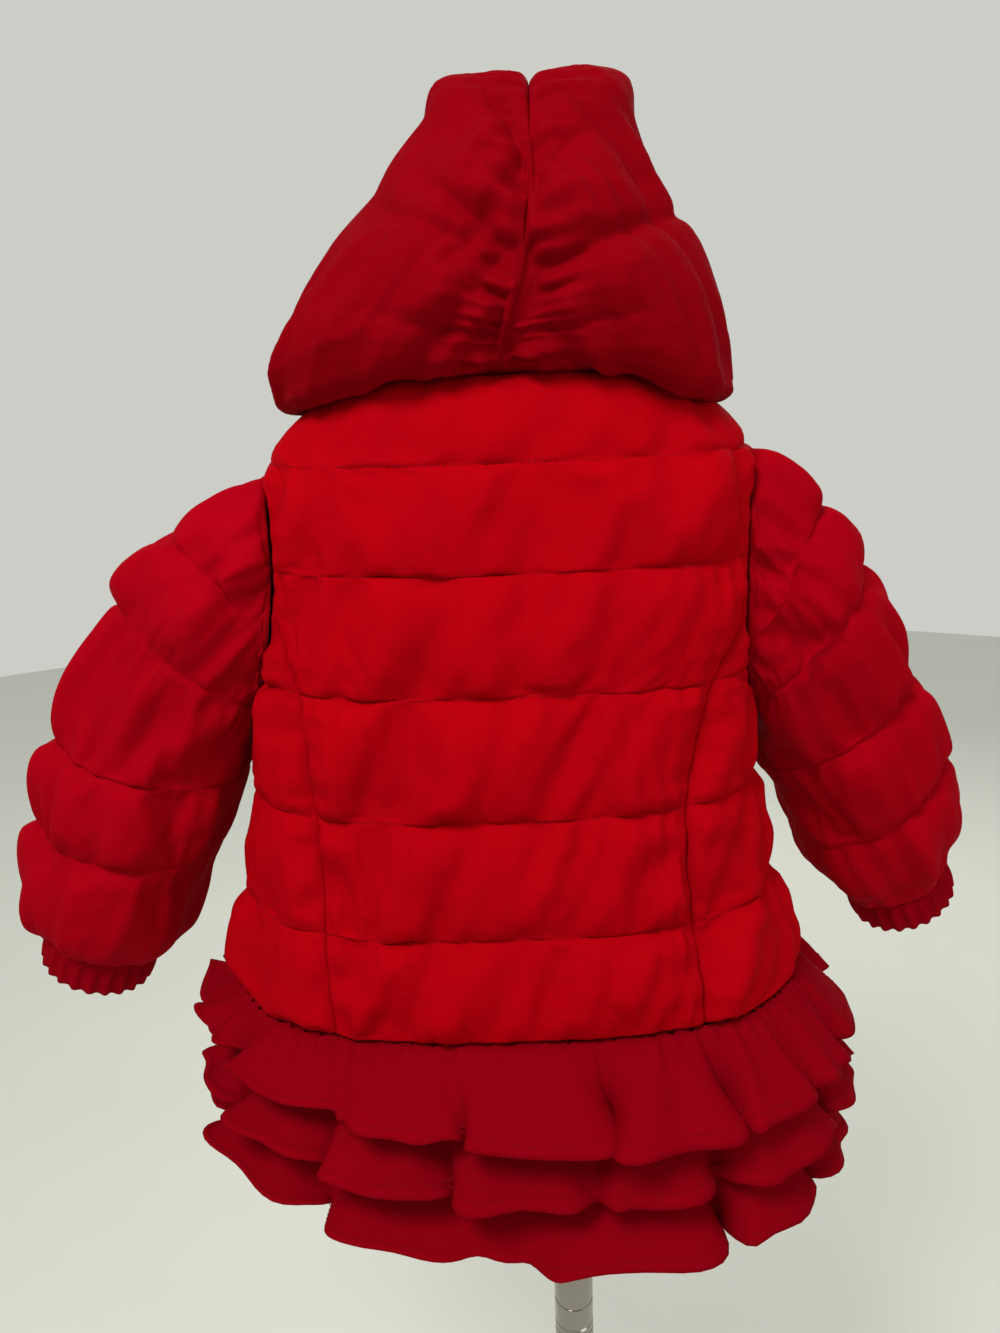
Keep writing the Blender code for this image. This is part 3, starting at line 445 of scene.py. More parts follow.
def fill_out(piece, fullness, slack, steps, most):
    """Blows the cloth out between its stitched lines, with a little cloth to spare, so that it wrinkles."""
    data = piece.data
    pins = piece.vertex_groups.new(name="sewn")
    for i, value in enumerate(data.attributes["held"].data):
        if value.value > 0:
            pins.add([i], value.value, "REPLACE")
    modifier = piece.modifiers.new("cloth", "CLOTH")
    settings = modifier.settings
    settings.quality = 5
    settings.mass = 0.06
    settings.tension_stiffness = 8
    settings.compression_stiffness = 8
    settings.shear_stiffness = 3
    settings.bending_stiffness = 0.05
    settings.use_pressure = True
    settings.uniform_pressure_force = fullness
    settings.shrink_min = -slack
    settings.vertex_group_mass = "sewn"
    settings.pin_stiffness = 1.0
    settings.effector_weights.gravity = 0
    modifier.collision_settings.use_collision = False
    modifier.point_cache.frame_start = 1
    modifier.point_cache.frame_end = steps
    before = [vert.co.copy() for vert in data.vertices]
    for step in range(1, steps + 1):
        bpy.context.scene.frame_set(step)
    settled = piece.evaluated_get(bpy.context.evaluated_depsgraph_get()).to_mesh()
    after = [vert.co.copy() for vert in settled.vertices]
    piece.modifiers.remove(modifier)
    bpy.context.scene.frame_set(1)
    for vert, old, new in zip(data.vertices, before, after):
        move = new - old
        if move.length > most:
            move = move.normalized() * (most + 0.25 * (min(move.length, 4 * most) - most))
        vert.co = old + move


def finish_cloth(piece, thickness, finish, node, smoothing=1):
    wall = piece.modifiers.new("wall", "SOLIDIFY")
    wall.thickness = thickness
    wall.offset = -1
    if smoothing:
        soft = piece.modifiers.new("soft", "SUBSURF")
        soft.levels = smoothing
        soft.render_levels = smoothing
    for face in piece.data.polygons:
        face.use_smooth = True
    piece.data.materials.append(finish.material)
    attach(piece, "form")
    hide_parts(node)


def red_cloth(name, light, deep, roughness=0.7):
    """Matte woven polyester: a fine plain weave, faint slubs and uneven dye."""
    cloth = Finish(name, light, roughness, Sheen_Weight=0.02, Sheen_Roughness=0.4, Specular_IOR_Level=0.1,
                   IOR=1.1)
    cloth.set(cloth.shader, {"Sheen Tint": (1.0, 0.01, 0.03, 1)})
    place = cloth.place()
    threads = cloth.node("ShaderNodeUVMap", {"uv_map": "cloth"}, {})
    tone = cloth.patches(place, 14.0, 3.0)
    speck = cloth.patches(place, 700.0, 1.0)
    shade = tone * 0.75 + speck * 0.35
    cloth.paint(Base_Color=cloth.blend(shade, deep, (*light, 1)))
    weave = {"Vector": threads, "Scale": 420.0, "Distortion": 0.6}
    warp = cloth.node("ShaderNodeTexWave", {"bands_direction": "X"}, weave)
    weft = cloth.node("ShaderNodeTexWave", {"bands_direction": "Y"}, weave)
    crumple = cloth.patches(place, 95.0, 4.0)
    cloth.raise_by((warp + weft) * 0.10 + speck * 0.12 + crumple, 0.0016, 0.5)
    return cloth


def coat_axis(point):
    return Vector((COAT_X, 0, point.z))


body_rows = [QUILT_LINES[0]]
for low_line, high_line in zip(QUILT_LINES, QUILT_LINES[1:]):
    row_count = round((high_line - low_line) / 0.0046)
    body_rows += [low_line + step * (high_line - low_line) for step in eased(row_count, 0.7)[1:]]
side_rows = [height for height in body_rows if height <= BACK_SEAM_HIGH] + [BACK_SEAM_HIGH]
side_rows.append(BACK_SEAM_HIGH + SIDE_TIP * 0.5 * (BACK_SEAM_TOP - BACK_SEAM_HIGH))
side_rows.append(BACK_SEAM_HIGH + SIDE_TIP * (BACK_SEAM_TOP - BACK_SEAM_HIGH))
BODY_PANELS = (  # name, rows, its two seams, columns, seed of its creases
    ("back_centre", body_rows, back_centre_angle, mirrored(back_centre_angle), 58, 1.0),
    ("back_side_left", side_rows, side_angle, back_seam_angle, 18, 2.0),
    ("back_side_right", side_rows, mirrored(back_seam_angle), mirrored(side_angle), 18, 3.0),
    ("front_left", body_rows, front_angle, front_side_angle, 42, 4.0),
    ("front_right", body_rows, mirrored(front_side_angle), mirrored(front_angle), 42, 5.0),
)
body_red = red_cloth("body_red_cloth", (0.40, 0.0004, 0.0035), (0.31, 0.0002, 0.0045))
body_pieces = {}
for panel_name, rows, start_seam, end_seam, columns, seed in BODY_PANELS:
    spots, held = [], []
    for height in rows:
        line, pins = [], []
        near = min(QUILT_LINES, key=lambda value: abs(value - height))
        along = 0.0
        before = None
        for angle, from_seam in section_angles(start_seam(height), end_seam(height), height, eased(columns)):
            point, normal = torso_point(angle, height), torso_normal(angle, height)
            if before is not None:
                along += (point - before).length
            before = point
            place = point.x + 2 * point.y if abs(point.y) < 0.05 else point.x
            full = channel_fullness(height) * swell(from_seam, PUFF_REACH) * armhole_fullness(point.y, height)
            floor_here = QUILT_FLOOR * min(from_seam / 0.010, 1.0)
            floor_here *= 1 + 0.8 * noise.noise(Vector((place * 55, near * 90, 2.0)))
            puff = floor_here + QUILT_RISE * full
            puff += pucker(place, abs(height - near), 3.0 + 10 * near) * min(from_seam / 0.012, 1.0)
            puff += pucker(height, from_seam, seed + 20) * min(abs(height - near) / 0.010, 1.0)
            puff += crease(place, height, seed) * min(full * 1.3, 1.0)
            wander = 0.0009 * noise.noise(Vector((place * 70, near * 50, 8.0))) * min(from_seam / 0.01, 1.0)
            line.append(point + normal * (PADDED_WALL + max(puff, 0.0)) + Vector((0, 0, wander)))
            stitched = abs(height - near) < 1e-6 or from_seam <= SEAM_GAP
            pins.append(1.0 if stitched else 0.0)
        spots.append(line)
        held.append(pins)
    held[0] = held[-1] = [1.0] * (columns + 1)
    spots, held = turned_in(spots, held, coat_axis)
    panel = cloth_piece(f"{panel_name}_cloth", spots, held, coat_axis)
    fill_out(panel, 0.5, 0.05, 16, 0.003)
    finish_cloth(panel, 0.0026, body_red, panel_name)
    body_pieces[panel_name] = panel

# ==== The sleeves
# Two padded tubes of the same cloth, set into the armholes and sewn through along four slanting lines. They
# hang a little bent, with their cloth pressed together on the inner side.
SLEEVE_PUFF = 0.0066
SLEEVE_CLEARANCE = 0.0025
SLEEVE_TOP = {"left": Vector((0.153, 0.0, 1.121)), "right": Vector((-0.120, 0.0, 1.121))}
SLEEVE_AXIS = {"left": Vector((0.395, -0.070, -0.916)), "right": Vector((-0.430, -0.235, -0.880))}
SLEEVE_LEAVE = {"left": 0.48, "right": 0.18}
SLEEVE_LINES = {
    "left": ((0.056, 0.088), (0.108, 0.132), (0.212, 0.194), (0.278, 0.252), (0.348, 0.348)),
    "right": ((0.058, 0.104), (0.112, 0.138), (0.200, 0.216), (0.276, 0.294), (0.371, 0.371)),
}
SLEEVE_ROUND = (  # distance along the axis, half width, half depth
    (0.190, 0.0555, 0.0480), (0.270, 0.0550, 0.0470), (0.318, 0.0520, 0.0450), (0.339, 0.0450, 0.0410),
    (0.350, 0.0370, 0.0345),
)
ARMHOLE_HEIGHTS = (1.117, 1.11028, 1.0974, 1.0806, 1.06772, 1.061, 1.05308, 1.0379, 1.0181, 1.00292, 0.995,
                   0.9866, 0.9705)
SLEEVE_COLUMNS = 84


def sleeve_frame(side):
    hand = 1 if side == "left" else -1
    top = SLEEVE_TOP[side] + Vector((COAT_X, 0, 0))
    axis = SLEEVE_AXIS[side].normalized()
    back = (Vector((0, 1, 0)) - axis * axis.y).normalized()
    out = back.cross(axis).normalized()
    if out.x * hand < 0:
        out = -out
    return top, axis, out, back


def along_axis(side):
    """A function that finds the place on a sleeve's axis level with a point."""
    top, axis, out, back = sleeve_frame(side)
    return lambda point: top + axis * (point - top).dot(axis)


def tube_point(frame, turn, distance):
    top, axis, out, back = frame
    half_width, half_depth = smooth_table(SLEEVE_ROUND, distance)
    return top + axis * distance + out * half_width * math.cos(turn) + back * half_depth * math.sin(turn)


def line_distance(side, line, turn):
    outer, inner = SLEEVE_LINES[side][line]
    return (outer + inner) / 2 + (outer - inner) / 2 * math.cos(turn)


def armhole_spot(side, share):
    """A point of the armhole's edge: top, back, bottom and front as the share goes from 0 to 1."""
    count = 2 * (len(ARMHOLE_HEIGHTS) - 1)
    step = share * count
    half = 1 if step <= count / 2 else -1
    step = step if half > 0 else count - step
    k = min(int(step), len(ARMHOLE_HEIGHTS) - 2)
    height = ARMHOLE_HEIGHTS[k] + (step - k) * (ARMHOLE_HEIGHTS[k + 1] - ARMHOLE_HEIGHTS[k])
    shrink = 1 - 2 * SEAM_GAP / (ARM_TOP - ARM_MIDDLE)
    angle = half * armhole_angle(height) * shrink
    if side == "right":
        angle = math.pi - angle
    return wall_point(angle, ARM_MIDDLE + (height - ARM_MIDDLE) * shrink, PADDED_WALL)


def bezier(points, t):
    a, b, c, d = points
    s = 1 - t
    return a * s**3 + b * 3 * s * s * t + c * 3 * s * t * t + d * t**3


def sleeve_column(side, frame, start, turn):
    """A line of points down the sleeve, each with its fullness and its distance from the nearest line."""
    top, axis, out, back = frame
    end = tube_point(frame, turn, line_distance(side, 2, turn))
    height_share = (math.cos(turn) + 1) / 2
    leave = out * (0.25 + SLEEVE_LEAVE[side] * height_share) + axis * (0.75 - 0.15 * height_share)
    leave = (leave + back * 0.30 * math.sin(turn)).normalized()
    reach = (end - start).length * 0.34
    handles = (start, start + leave * reach, end - axis * reach, end)
    samples = [bezier(handles, i / 60) for i in range(61)]
    distances = [(p - top).dot(axis) for p in samples]
    points = [(start, 0.0, 0.0, 0)]
    low = distances[0]
    for line in range(5):
        high = max(line_distance(side, line, turn), distances[0] + 0.0075 * (line + 1))
        for step in eased((12, 11, 16, 14, 16)[line], 0.45)[1:]:
            want = low + step * (high - low)
            if want < distances[-1] - 1e-9:
                k = next((i for i in range(60) if distances[i + 1] >= want), 59)
                part = (want - distances[k]) / max(distances[k + 1] - distances[k], 1e-9)
                point = samples[k].lerp(samples[k + 1], part)
            else:
                point = tube_point(frame, turn, want)
            full = swell(min(step, 1 - step), 0.5) * min((high - low) / 0.03, 1.0)
            away = min(step, 1 - step) * (high - low)
            nearest = line + (1 if step > 0.5 else 0)
            points.append((point, full * (0.65 + 0.35 * math.cos(turn)), away, nearest))
        low = high
    return points


def grid_normals(grid, closed):
    """The unit normal at each point of a grid. A closed grid's last column is its first again."""
    rows, columns = len(grid), len(grid[0]) - 1
    normals = []
    for i in range(rows):
        normals.append([])
        for j in range(columns + 1):
            if closed:
                across = grid[i][(j + 1) % columns] - grid[i][(j - 1) % columns]
            else:
                across = grid[i][min(j + 1, columns)] - grid[i][max(j - 1, 0)]
            along = grid[min(i + 1, rows - 1)][j] - grid[max(i - 1, 0)][j]
            normals[-1].append(across.cross(along).normalized())
    return normals


def push_off_body(point, side):
    hand = 1 if side == "left" else -1
    if not TORSO[0][0] < point.z < ARM_TOP:
        return 0.0
    half_width, half_depth, sway = smooth_table(TORSO, point.z)
    across = min(abs(point.y) / half_depth, 1.0)
    reach = half_width * (1 - across**ROUND_POWER) ** (1 / ROUND_POWER)
    puff = BODY_PUFF * channel_fullness(point.z) * swell(abs(point.y), PUFF_REACH)
    puff *= armhole_fullness(point.y, point.z)
    limit = reach + PADDED_WALL + puff + SLEEVE_CLEARANCE
    beside = (point.x - COAT_X - sway) * hand
    return hand * max(limit - beside, 0.0)


# The sleeves' red is the body's cloth painted a little darker and cooler: painted shade.
sleeve_painted_shade_red = red_cloth("sleeve_painted_shade_red_cloth", (0.36, 0.0004, 0.006), (0.26, 0.0002, 0.006))
for side, hand in (("left", 1), ("right", -1)):
    frame_of_sleeve = sleeve_frame(side)
    columns = []
    for i in range(SLEEVE_COLUMNS + 1):
        share = (i % SLEEVE_COLUMNS) / SLEEVE_COLUMNS
        columns.append(sleeve_column(side, frame_of_sleeve, armhole_spot(side, share), 2 * math.pi * share))
    rows = list(zip(*columns))
    normals = grid_normals([[entry[0] for entry in row] for row in rows], closed=True)
    sign = 1 if normals[-6][0].dot(frame_of_sleeve[2]) > 0 else -1
    spots, held = [], []
    for i, row in enumerate(rows):
        spots.append([])
        held.append([])
        for j, (point, full, away, nearest) in enumerate(row):
            share = (j % SLEEVE_COLUMNS) / SLEEVE_COLUMNS
            around = 0.32 * share
            puff = SLEEVE_PUFF * full
            puff += pucker(around, away, 40 + 7 * nearest + 3 * hand) * min(full * 4, 1.0)
            circle = Vector((math.cos(2 * math.pi * share), math.sin(2 * math.pi * share), 0)) * 1.7
            fold = noise.noise(circle * 1.4 + Vector((0, 0, i * 0.045 + 9 * hand)))
            fold += 0.5 * noise.noise(circle * 3.1 + Vector((0, 0, i * 0.11 + 5 * hand)))
            puff += CREASE_HEIGHT * 1.6 * fold * min(full * 1.3, 1.0)
            spot = point + normals[i][j] * sign * puff
            if i > 0:
                spot.x += push_off_body(spot, side)
            spots[-1].append(spot)
            held[-1].append(1.0 if away < 1e-6 else 0.0)
    spots, held = turned_in(spots, held, along_axis(side), columns=False)
    sleeve = cloth_piece(f"sleeve_{side}_cloth", spots, held, along_axis(side), closed=True)
    fill_out(sleeve, 0.5, 0.05, 16, 0.003)
    finish_cloth(sleeve, 0.0026, sleeve_painted_shade_red, f"sleeve_{side}")

# ==== The cuffs
# A short band of single cloth with elastic in it, gathered into small upright ribs where the hand comes out.
CUFF_LENGTH = 0.026
CUFF_RIBS = 22
CUFF_COLUMNS = CUFF_RIBS * 8
cuff_red = red_cloth("cuff_red_cloth", (0.28, 0.0004, 0.006), (0.19, 0.0002, 0.005))
for side, hand in (("left", 1), ("right", -1)):
    top, axis, out, back = sleeve_frame(side)
    half_width, half_depth = SLEEVE_ROUND[-1][1:]
    start = max(SLEEVE_LINES[side][-1]) + SEAM_GAP
    spots, held = [], []
    for row in range(13):
        step = row / 12
        centre = top + axis * (start + step * CUFF_LENGTH)
        line = []
        for i in range(CUFF_COLUMNS + 1):
            turn = 2 * math.pi * (i % CUFF_COLUMNS) / CUFF_COLUMNS
            wander = 0.8 * noise.noise(Vector((3 * math.cos(turn), 3 * math.sin(turn), 2 * hand)))
            rib = math.sin(CUFF_RIBS * turn + wander + 0.6 * math.sin(3 * step))
            rib = signed_power(rib, 0.8) * (0.0004 + 0.0010 * min(step * 4, 1.0))
            bulge = 0.0012 * math.sin(math.pi * step) - 0.0008
            reach = rib + bulge
            line.append(centre + out * (half_width + reach) * math.cos(turn)
                        + back * (half_depth + reach) * math.sin(turn))
        spots.append(line)
        held.append([0.0] * len(line))
    cuff = cloth_piece(f"cuff_{side}_cloth", spots, held, along_axis(side), closed=True)
    finish_cloth(cuff, 0.0016, cuff_red, f"cuff_{side}", smoothing=0)

# ==== The hood
# Two padded halves with a gathered seam over the middle of the head. They stand up empty, drop onto the
# shoulders at the sides and pull into sharp folds where they meet the seam.
HOOD_PUFF = 0.010
HOOD_CLEARANCE = 0.0010
HOOD_ROWS = (  # seam x, y, z | left side x, right side x, side y, z | edge half width, y, z
    (0.001, 0.071, 1.1645, 0.100, -0.099, 0.000, 1.1510, 0.026, -0.062, 1.1430),
    (0.002, 0.079, 1.1700, 0.114, -0.113, 0.000, 1.1440, 0.036, -0.076, 1.1450),
    (0.000, 0.085, 1.1800, 0.118, -0.114, 0.000, 1.1530, 0.042, -0.084, 1.1520),
    (-0.004, 0.088, 1.1930, 0.119, -0.111, -0.002, 1.1740, 0.047, -0.090, 1.1640),
    (-0.010, 0.088, 1.2130, 0.107, -0.104, -0.004, 1.1980, 0.051, -0.095, 1.1840),
    (-0.014, 0.080, 1.2400, 0.085, -0.093, -0.008, 1.2290, 0.049, -0.097, 1.2120),
    (-0.016, 0.065, 1.2680, 0.061, -0.080, -0.012, 1.2570, 0.042, -0.094, 1.2410),
    (-0.017, 0.042, 1.2930, 0.037, -0.069, -0.014, 1.2850, 0.034, -0.088, 1.2660),
    (-0.018, 0.016, 1.3090, 0.031, -0.069, -0.012, 1.3080, 0.030, -0.083, 1.2850),
    (-0.019, -0.012, 1.3130, 0.026, -0.066, -0.022, 1.3130, 0.031, -0.082, 1.2930),
    (-0.020, -0.045, 1.3110, 0.006, -0.046, -0.052, 1.3070, 0.029, -0.082, 1.2955),
    (-0.020, -0.074, 1.3040, -0.006, -0.034, -0.077, 1.3020, 0.021, -0.080, 1.2985),
)
HOOD_FOLDS = (  # from x, z to x, z, seen from behind | depth, width
    (-0.017, 1.262, 0.006, 1.303, 0.011, 0.0060),
    (-0.016, 1.240, 0.018, 1.274, 0.008, 0.0050),
    (-0.013, 1.212, 0.034, 1.252, 0.016, 0.0065),
    (-0.011, 1.206, 0.052, 1.238, 0.013, 0.0060),
    (-0.009, 1.190, 0.022, 1.212, 0.013, 0.0050),
    (-0.018, 1.258, -0.042, 1.272, 0.014, 0.0060),
    (-0.013, 1.206, -0.088, 1.236, 0.017, 0.0075),
    (-0.009, 1.192, -0.040, 1.204, 0.008, 0.0050),
    (-0.004, 1.176, -0.064, 1.188, 0.010, 0.0080),
    (0.000, 1.178, 0.060, 1.190, 0.009, 0.0080),
    (0.056, 1.242, 0.068, 1.222, 0.010, 0.0100),
    (-0.070, 1.252, -0.082, 1.232, 0.007, 0.0100),
)
HOOD_COLUMNS = 74
SEAM_PILLOW = 0.0035  # how far the padding stands out on both sides of the centre seam
HOOD_OVERLAP = 0.0002  # how far each half reaches past the seam, so that no light shows through


def hood_row(row, side):
    seam_x, seam_y, seam_z, left, right, side_y, side_z, edge_half, edge_y, edge_z = row
    hand = 1 if side == "left" else -1
    seam = Vector((COAT_X + seam_x - hand * HOOD_OVERLAP, seam_y, seam_z))
    flank = Vector((COAT_X + (left if side == "left" else right), side_y, side_z))
    edge = Vector((COAT_X + seam_x + hand * edge_half, edge_y, edge_z))
    return seam, flank, edge


def hood_curve(seam, flank, edge, share):
    if share <= 0.5:
        turn = math.pi * share
        corner = 0.85 - 0.25 * smooth_step(1.270, 1.300, flank.z)
        a, b = math.sin(turn) ** corner, math.cos(turn) ** corner
        return Vector((seam.x + (flank.x - seam.x) * a, flank.y + (seam.y - flank.y) * b,
                       seam.z + (flank.z - seam.z) * math.sin(turn) ** 1.5))
    turn = math.pi * (share - 0.5)
    a, b = math.sin(turn) ** 0.9, max(math.cos(turn), 0.0) ** 0.9
    return Vector((edge.x + (flank.x - edge.x) * b, flank.y + (edge.y - flank.y) * a,
                   flank.z + (edge.z - flank.z) * math.sin(turn) ** 1.5))


def neck_ring_point(side, share):
    height = QUILT_LINES[-1]
    front = -angle_at_x(FRONT_EDGE, height)
    angle = math.pi / 2 + share * (front - math.pi / 2)
    if side == "right":
        angle = math.pi - angle
    point = wall_point(angle, height, PADDED_WALL)
    inward = Vector((COAT_X - point.x, -point.y, 0)).normalized()
    point = point + inward * SEAM_GAP * 1.5 + Vector((0, 0, SEAM_GAP))
    if share == 0:
        point.x = COAT_X + (1 if side == "left" else -1) * SEAM_GAP / 2
    return point


def fold_depth(point):
    depth = 0.0
    for x1, z1, x2, z2, deep, width in HOOD_FOLDS:
        ax, az = point.x - COAT_X - x1, point.z - z1
        bx, bz = x2 - x1, z2 - z1
        t = min(max((ax * bx + az * bz) / (bx * bx + bz * bz), 0.0), 1.0)
        off = math.hypot(ax - t * bx, az - t * bz)
        depth += deep * (1 - 0.7 * t * t) * math.exp(-off / width)
    return depth


def lift_off_shoulder(point):
    def beyond(height):
        half_width, half_depth, sway = smooth_table(TORSO, height)
        x, y = abs(point.x - COAT_X - sway) / half_width, abs(point.y) / half_depth
        return x**ROUND_POWER + y**ROUND_POWER > 1
    low, high = ARM_TOP - 0.010, TORSO[-1][0]
    if beyond(low) or not beyond(high) or point.z > high + 0.03:
        return 0.0
    for _ in range(14):
        middle = (low + high) / 2
        low, high = (low, middle) if beyond(middle) else (middle, high)
    y_share = point.y / smooth_table(TORSO, low)[1]
    sine = math.copysign(min(abs(y_share), 1.0) ** (ROUND_POWER / 2), y_share)
    angle = math.asin(sine)
    surface = torso_point(angle, low).z
    rise = torso_normal(angle if point.x > COAT_X else math.pi - angle, low).z
    thick = PADDED_WALL + BODY_PUFF * channel_fullness(low)
    return max(surface + thick / max(rise, 0.35) + HOOD_CLEARANCE - point.z, 0.0)


def hood_middle(point):
    return Vector((COAT_X - 0.008, -0.005, min(point.z, 1.24)))


# The hood's red is the body's cloth painted much darker, as painted shade.
hood_painted_shade_red = red_cloth("hood_painted_shade_red_cloth", (0.25, 0.0003, 0.004), (0.18, 0.0002, 0.004))
hood_table = [(k, *row) for k, row in enumerate(HOOD_ROWS)]
hood_steps = [k / 9 for k in range(9 * (len(HOOD_ROWS) - 1) + 1)]
for side, hand in (("left", 1), ("right", -1)):
    shares = eased(HOOD_COLUMNS, 0.65)
    grid = [[neck_ring_point(side, share) for share in shares]]
    for step in hood_steps:
        seam, flank, edge = hood_row(smooth_table(hood_table, step), side)
        grid.append([hood_curve(seam, flank, edge, share) for share in shares])
    rows = len(grid)
    normals = grid_normals(grid, closed=False)
    sign = 1 if normals[rows // 2][HOOD_COLUMNS // 2].x * hand > 0 else -1
    spots, held = [], []
    up_seam = 0.0
    for i, row in enumerate(grid):
        if i:
            up_seam += (row[0] - grid[i - 1][0]).length
        spots.append([])
        held.append([])
        for j, point in enumerate(row):
            normal = normals[i][j] * sign
            if j == 0:
                normal.x = 0.0
                normal.normalize()
            seam_reach = (point - row[0]).length
            edge_reach = (point - row[-1]).length
            full = swell(seam_reach, 0.026) * swell(edge_reach, 0.025) * swell(i, 18.0)
            full *= swell(rows - 1 - i, 13.0)
            loose_end = swell(i, 18.0) * swell(rows - 1 - i, 13.0) * swell(edge_reach, 0.025)
            puff = HOOD_PUFF * full * max(1 + 1.5 * min(normal.z, 0.0), 0.0)
            puff *= 1 - 0.85 * smooth_step(1.235, 1.300, point.z)
            puff *= 1 - 0.8 * max(normal.z, 0.0)
            puff += SEAM_PILLOW * swell(seam_reach, 0.012) * loose_end
            loose = min(full * 2, 1.0)
            if point.y > -0.02:
                puff -= fold_depth(point) * loose * smooth_step(-0.02, 0.02, point.y)
            puff += 1.9 * pucker(up_seam - 0.25 * seam_reach, seam_reach, 70.0) * loose
            puff += pucker(up_seam, edge_reach, 80.0 + hand) * loose
            folds = crease(up_seam * 1.2, seam_reach * 1.6, 90 + hand, slant=0.9)
            puff += 0.7 * folds * loose * (1 - 0.7 * smooth_step(1.265, 1.300, point.z))
            spot = point + normal * max(puff, -0.0060)
            if i > 0:
                spot.z += lift_off_shoulder(spot)
            spots[-1].append(spot)
            held[-1].append(1.0 if j in (0, HOOD_COLUMNS) or i in (0, rows - 1) else 0.0)
    spots, held = turned_in(spots, held, hood_middle)
    hood = cloth_piece(f"hood_{side}_cloth", spots, held, hood_middle)
    fill_out(hood, 0.15, 0.035, 10, 0.0014)
    finish_cloth(hood, 0.0026, hood_painted_shade_red, f"hood_{side}")

# ==== The frill
# Three tiers of thin unpadded cloth, each gathered into the seam at the foot of the body and hanging over the
# next. Every free edge is turned up and stitched, which ripples it.
FRILL_TIERS = (  # name | waves, phase | height, offset, wave size and side lift, from the seam down
    ("ruffle_1", 17, 0.4,
     ((0.7962, 0.0026, 0.0, 0.0), (0.780, 0.018, 0.004, 0.002), (0.759, 0.034, 0.011, 0.006))),
    ("ruffle_2", 16, 2.1,
     ((0.7962, 0.0008, 0.0, 0.0), (0.758, 0.0085, 0.002, 0.006), (0.721, 0.035, 0.011, 0.012))),
    ("ruffle_3", 12, 5.9,
     ((0.7962, -0.0010, 0.0, 0.0), (0.720, 0.008, 0.002, 0.012), (0.680, 0.034, 0.012, 0.022))),
)
FRILL_SEAM = (0.173, 0.104, 0.004)
FRILL_REACH = 0.034
FRILL_LEAN = 0.005
FRILL_TILT = 0.07
FRILL_POWER = 2.2
FRILL_BACK = 1.25
FRILL_OPENING = 0.035
FRILL_LIFT = 0.25
FRILL_DROPS = {"ruffle_1": 0.052, "ruffle_2": 0.086, "ruffle_3": 0.126}
FRILL_WAVE_COLUMNS = 22
FRILL_ROW = 0.006
HEM_TURNING = 0.0065  # the hem's turned edge, which is twice as thick as the cloth
HEM_STEP = 0.0006
HEM_THREAD = 0.0058  # how far above the edge its stitches run


def frill_point(tier, angle, share):
    """The solids' tier with finer gathers: small ones at the seam, and waves that curl over at the edge."""
    name, waves, phase, heights = tier
    table = [(k / (len(heights) - 1), *row) for k, row in enumerate(heights)]
    height, offset, size, side_lift = smooth_table(table, share)
    back = 1 + (FRILL_BACK - 1) * max(math.sin(angle), 0.0)
    swing = waves * angle + phase + 0.9 * math.sin(3 * angle + phase) + 0.5 * math.sin(5 * angle - phase)
    crest = 0.5 + 0.5 * math.sin(swing)
    wave = 0.85 - 2.1 * (1 - crest) ** 3 + 0.18 * math.sin(2 * swing + 1.3 * math.sin(4 * angle))
    spread = 0.80 + 0.25 * math.sin(4 * angle + 2 * phase)
    spread += 0.6 * noise.noise(Vector((3.1 * angle, phase, 0)))
    fine = 0.0030 * math.sin(5 * swing + 2.1 * math.sin(7 * angle + phase)) * math.exp(-3.2 * share)
    fine += 0.0016 * share * math.sin(3 * swing + 1.7 * math.sin(9 * angle + 2 * phase))
    crumple = 0.0040 * share * noise.noise(Vector((angle * 11, share * 2.6, phase * 3)))
    reach = offset * back + size * spread * wave + fine + crumple
    half_width, half_depth, sway = FRILL_SEAM
    grown = min(max(offset / FRILL_REACH, 0.0), 1.0)
    power = ROUND_POWER + (FRILL_POWER - ROUND_POWER) * grown
    turn = angle - size * spread * (0.9 * math.cos(swing) + 0.5 * math.sin(swing)) / 0.15 * share
    x = (half_width + reach) * signed_power(math.cos(turn), 2 / power)
    y = (half_depth + reach) * signed_power(math.sin(turn), 2 / power)
    lift = 0.6 * FRILL_LIFT * size * spread * wave + side_lift * math.cos(angle) ** 2
    lift += FRILL_TILT * x * grown**2 + 0.0012 * share * math.sin(2 * swing + phase)
    return Vector((COAT_X + sway + x - FRILL_LEAN * grown**2, y, height + lift))


def frill_angles(tier):
    """Angles from one front edge round the back to the other, so many for each wave."""
    count = tier[1] * FRILL_WAVE_COLUMNS
    low, high = -math.pi / 2 + FRILL_OPENING, 3 * math.pi / 2 - FRILL_OPENING
    return [low + (high - low) * i / count for i in range(count + 1)]


frill_pieces = {}
